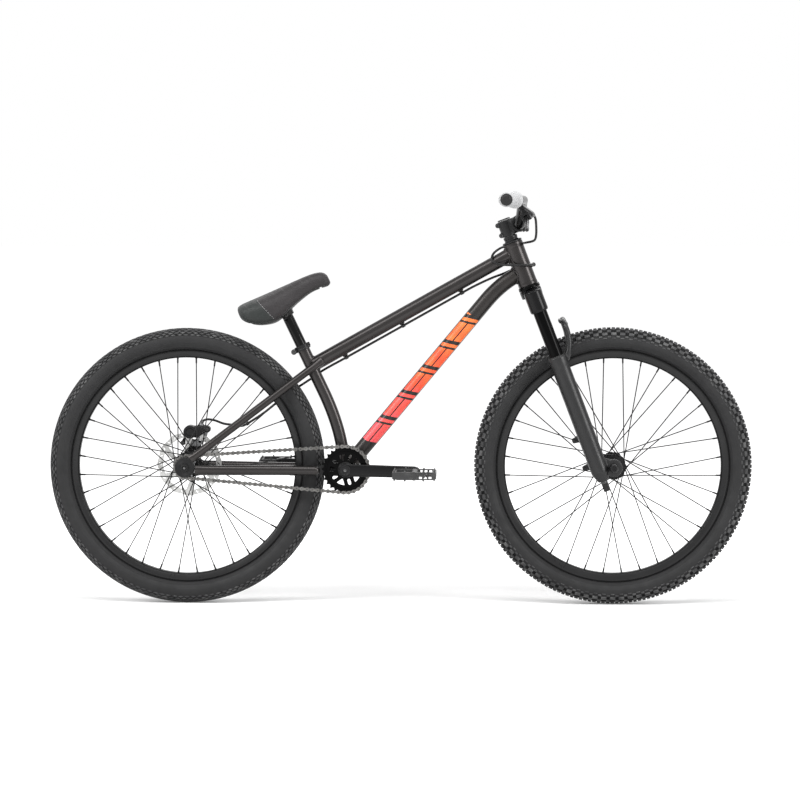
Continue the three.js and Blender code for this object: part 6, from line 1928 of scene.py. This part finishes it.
# Brake hose: from the lever round the head tube to its ring, then along the top tube and the left stay
HOSE_RADIUS = 2.9
FRONT_HOSE = [Vector(place) for place in (
    (321.1, -180, 950.9), (324.5, -168, 949.5), (328, -156, 941), (329.5, -146, 926), (330, -134, 910),
    (329, -116, 897.5), (326, -94, 890.5), (319, -66, 887), (311, -36, 885), (306, -6, 883.5),
    (304.5, 7, 882.8), (299, 20, 882), (290, 29, 880.5), (276, 32, 878), (262, 29, 875.5), (250, 18, 872),
    (241, 4, 868), (229, -5, 858.5), (224, -15, 848.5), (226, -23, 838.5), (238, -26, 832.5),
    (256, -28, 830), (276, -30, 829.5), (296, -30.5, 829.5), (312, -25, 829.8), (321, -14, 830.2),
    (325.4, -4.8, 830.4), (325.4, -0.15, 830.4),
)]
REAR_HOSE = [Vector(place) for place in (
    (325.4, 0.15, 830.4), (325.4, 4.8, 830.4), (321, 14, 830), (311, 25.5, 827.5), (294, 30.5, 823.5),
    (273, 28, 816.5), (251, 16, 807.5), (224, 5, 797.5), (187, 0.5, 780.5), (150, 0, 760.6), (55, 0, 707.4),
    (-40, 0, 654.2), (-134, 0, 601.6), (-168, 3, 583), (-194, 17, 567.5), (-217, 24, 551),
    (-242, 26, 534.5), (-263, 33, 520.5), (-304, 41, 490), (-338, 46, 463), (-378, 50, 437), (-394, 50, 431),
    (-416, 48, 434), (-437, 47, 437), (-458, 49, 444.5), (-475, 51.5, 447), (-486, 52, 444.5),
    (-490.4, 52, 441), (-491.7, 52, 437.9),
)]
# The point of the rear hose that its clip holds
CLIP_POINT = 20


def crimp(start, end):
    """A ribbed metal sleeve where the hose goes into a fitting."""
    length = (end - start).length
    profile = [(3, 0), (3.9, 0)]
    for k in range(3):
        at = length * (0.15 + 0.22 * k)
        profile += [(4, at), (3.6, at + 0.6), (3.6, at + 1.2), (4, at + 1.8)]
    profile += [(3.9, length - 1), (3.4, length), (3, length), (3, 0)]
    return placed(lathe(profile, 24), basis(start, end - start))


def hose(route, fitting_from, fitting_to):
    tube = Shape().add(sweep(spline(route, 6), HOSE_RADIUS, 20), hose_rubber)
    return tube.add(crimp(fitting_from, fitting_to), dark_steel)


front_crimp_end = FRONT_HOSE[0].lerp(FRONT_HOSE[1], 0.8)
rear_crimp_end = REAR_HOSE[-2].lerp(REAR_HOSE[-3], 0.6)
front_form = hose(FRONT_HOSE, FRONT_HOSE[0], front_crimp_end)
front_hose = front_form.piece("hose_front", None, ["brake_hose_front"], "hose")
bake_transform(front_hose)
rear_form = hose(REAR_HOSE, REAR_HOSE[-1], rear_crimp_end)
rear_form.piece("hose_rear", "frame", ["brake_hose_rear"], "hose")

strap_way = REAR_HOSE[CLIP_POINT + 1] - REAR_HOSE[CLIP_POINT - 1]
strap = Shape().add(collar(3, 4.4, -4, 4, 0.5, 24), hard_plastic, basis(REAR_HOSE[CLIP_POINT], strap_way))
strap.piece("hose_clip", "frame", (), "plastic")

# Floor, lamps, world and camera, in metres
floor_corners = [Vector((x, y, 0)) for x, y in ((-30, -20), (30, -20), (30, 60), (-30, 60))]
floor_mesh = box_mesh("floor", floor_corners, [(0, 1, 2, 3)])
floor_piece = in_scene("floor", floor_mesh)


def seen_directly(look):
    """Gives 1 for rays from the camera and for mirrored or refracted ones."""
    path = look.add("ShaderNodeLightPath")
    either = look.maths("MAXIMUM", path.outputs["Is Camera Ray"], path.outputs["Is Glossy Ray"])
    return look.maths("MAXIMUM", either, path.outputs["Is Transmission Ray"])


def floor_finish():
    """A matt floor that gives off more light the further it lies from the bike."""
    look = Look("floor")
    tone = look.add("ShaderNodeCombineColor")
    grey = look.ranged(look.noise(3, 3), 0.84, 0.87)
    for channel in ("Red", "Green", "Blue"):
        look.join(grey, tone.inputs[channel])
    look.put("Base Color", tone.outputs["Color"])
    look.put("Roughness", 0.9)
    look.put("Specular IOR Level", 0.0)
    look.put("Emission Color", (1, 1, 1, 1))
    parts = look.add("ShaderNodeSeparateXYZ")
    look.join(look.place, parts.inputs["Vector"])
    beyond_ends = look.maths("SUBTRACT", look.maths("ABSOLUTE", parts.outputs["X"]), 0.8)
    far = look.maths("MAXIMUM", look.maths("ABSOLUTE", parts.outputs["Y"]), beyond_ends)
    look.put("Emission Strength", look.product(seen_directly(look), look.ranged(far, 0.12, 0.7, 0.1, 1.2)))
    return look.material


floor_mesh.materials.append(floor_finish())

scene = bpy.context.scene
world = bpy.data.worlds.new("studio")
scene.world = world
world.use_nodes = True
sky = Look.__new__(Look)
sky.tree = world.node_tree
background = sky.tree.nodes["Background"]
background.inputs["Color"].default_value = (1, 1, 1, 1)
sky.join(sky.ranged(seen_directly(sky), 0.38, 1.0, 0, 1), background.inputs["Strength"])


def aimed(holder, place, target):
    holder.location = place
    holder.rotation_euler = (Vector(target) - holder.location).to_track_quat("-Z", "Y").to_euler()


def lamp(name, place, target, width, height, power):
    light = bpy.data.lights.new(name, "AREA")
    light.shape = "RECTANGLE"
    light.size = width
    light.size_y = height
    light.energy = power
    aimed(in_scene(name, light), place, target)


lamp("top_light", (0, -1.7, 3.3), (0, 0, 0.4), 5.0, 1.3, 105)
lamp("left_light", (-3.7, -1.9, 2.6), (0, 0, 0.5), 1.6, 1.8, 110)
lamp("right_light", (3.7, -2.1, 1.9), (0, 0, 0.5), 1.6, 1.8, 90)
lamp("back_light", (0.8, 3.4, 3.4), (0, 0, 0.3), 4, 1.2, 60)

view = bpy.data.cameras.new("camera")
view.lens = 137.97
view.sensor_width = 36
view.clip_end = 200
eye = in_scene("camera", view)
aimed(eye, (0.222, -7.481, 0.983), (0, 0, 0.499))
scene.camera = eye
scene.view_settings.view_transform = "Standard"
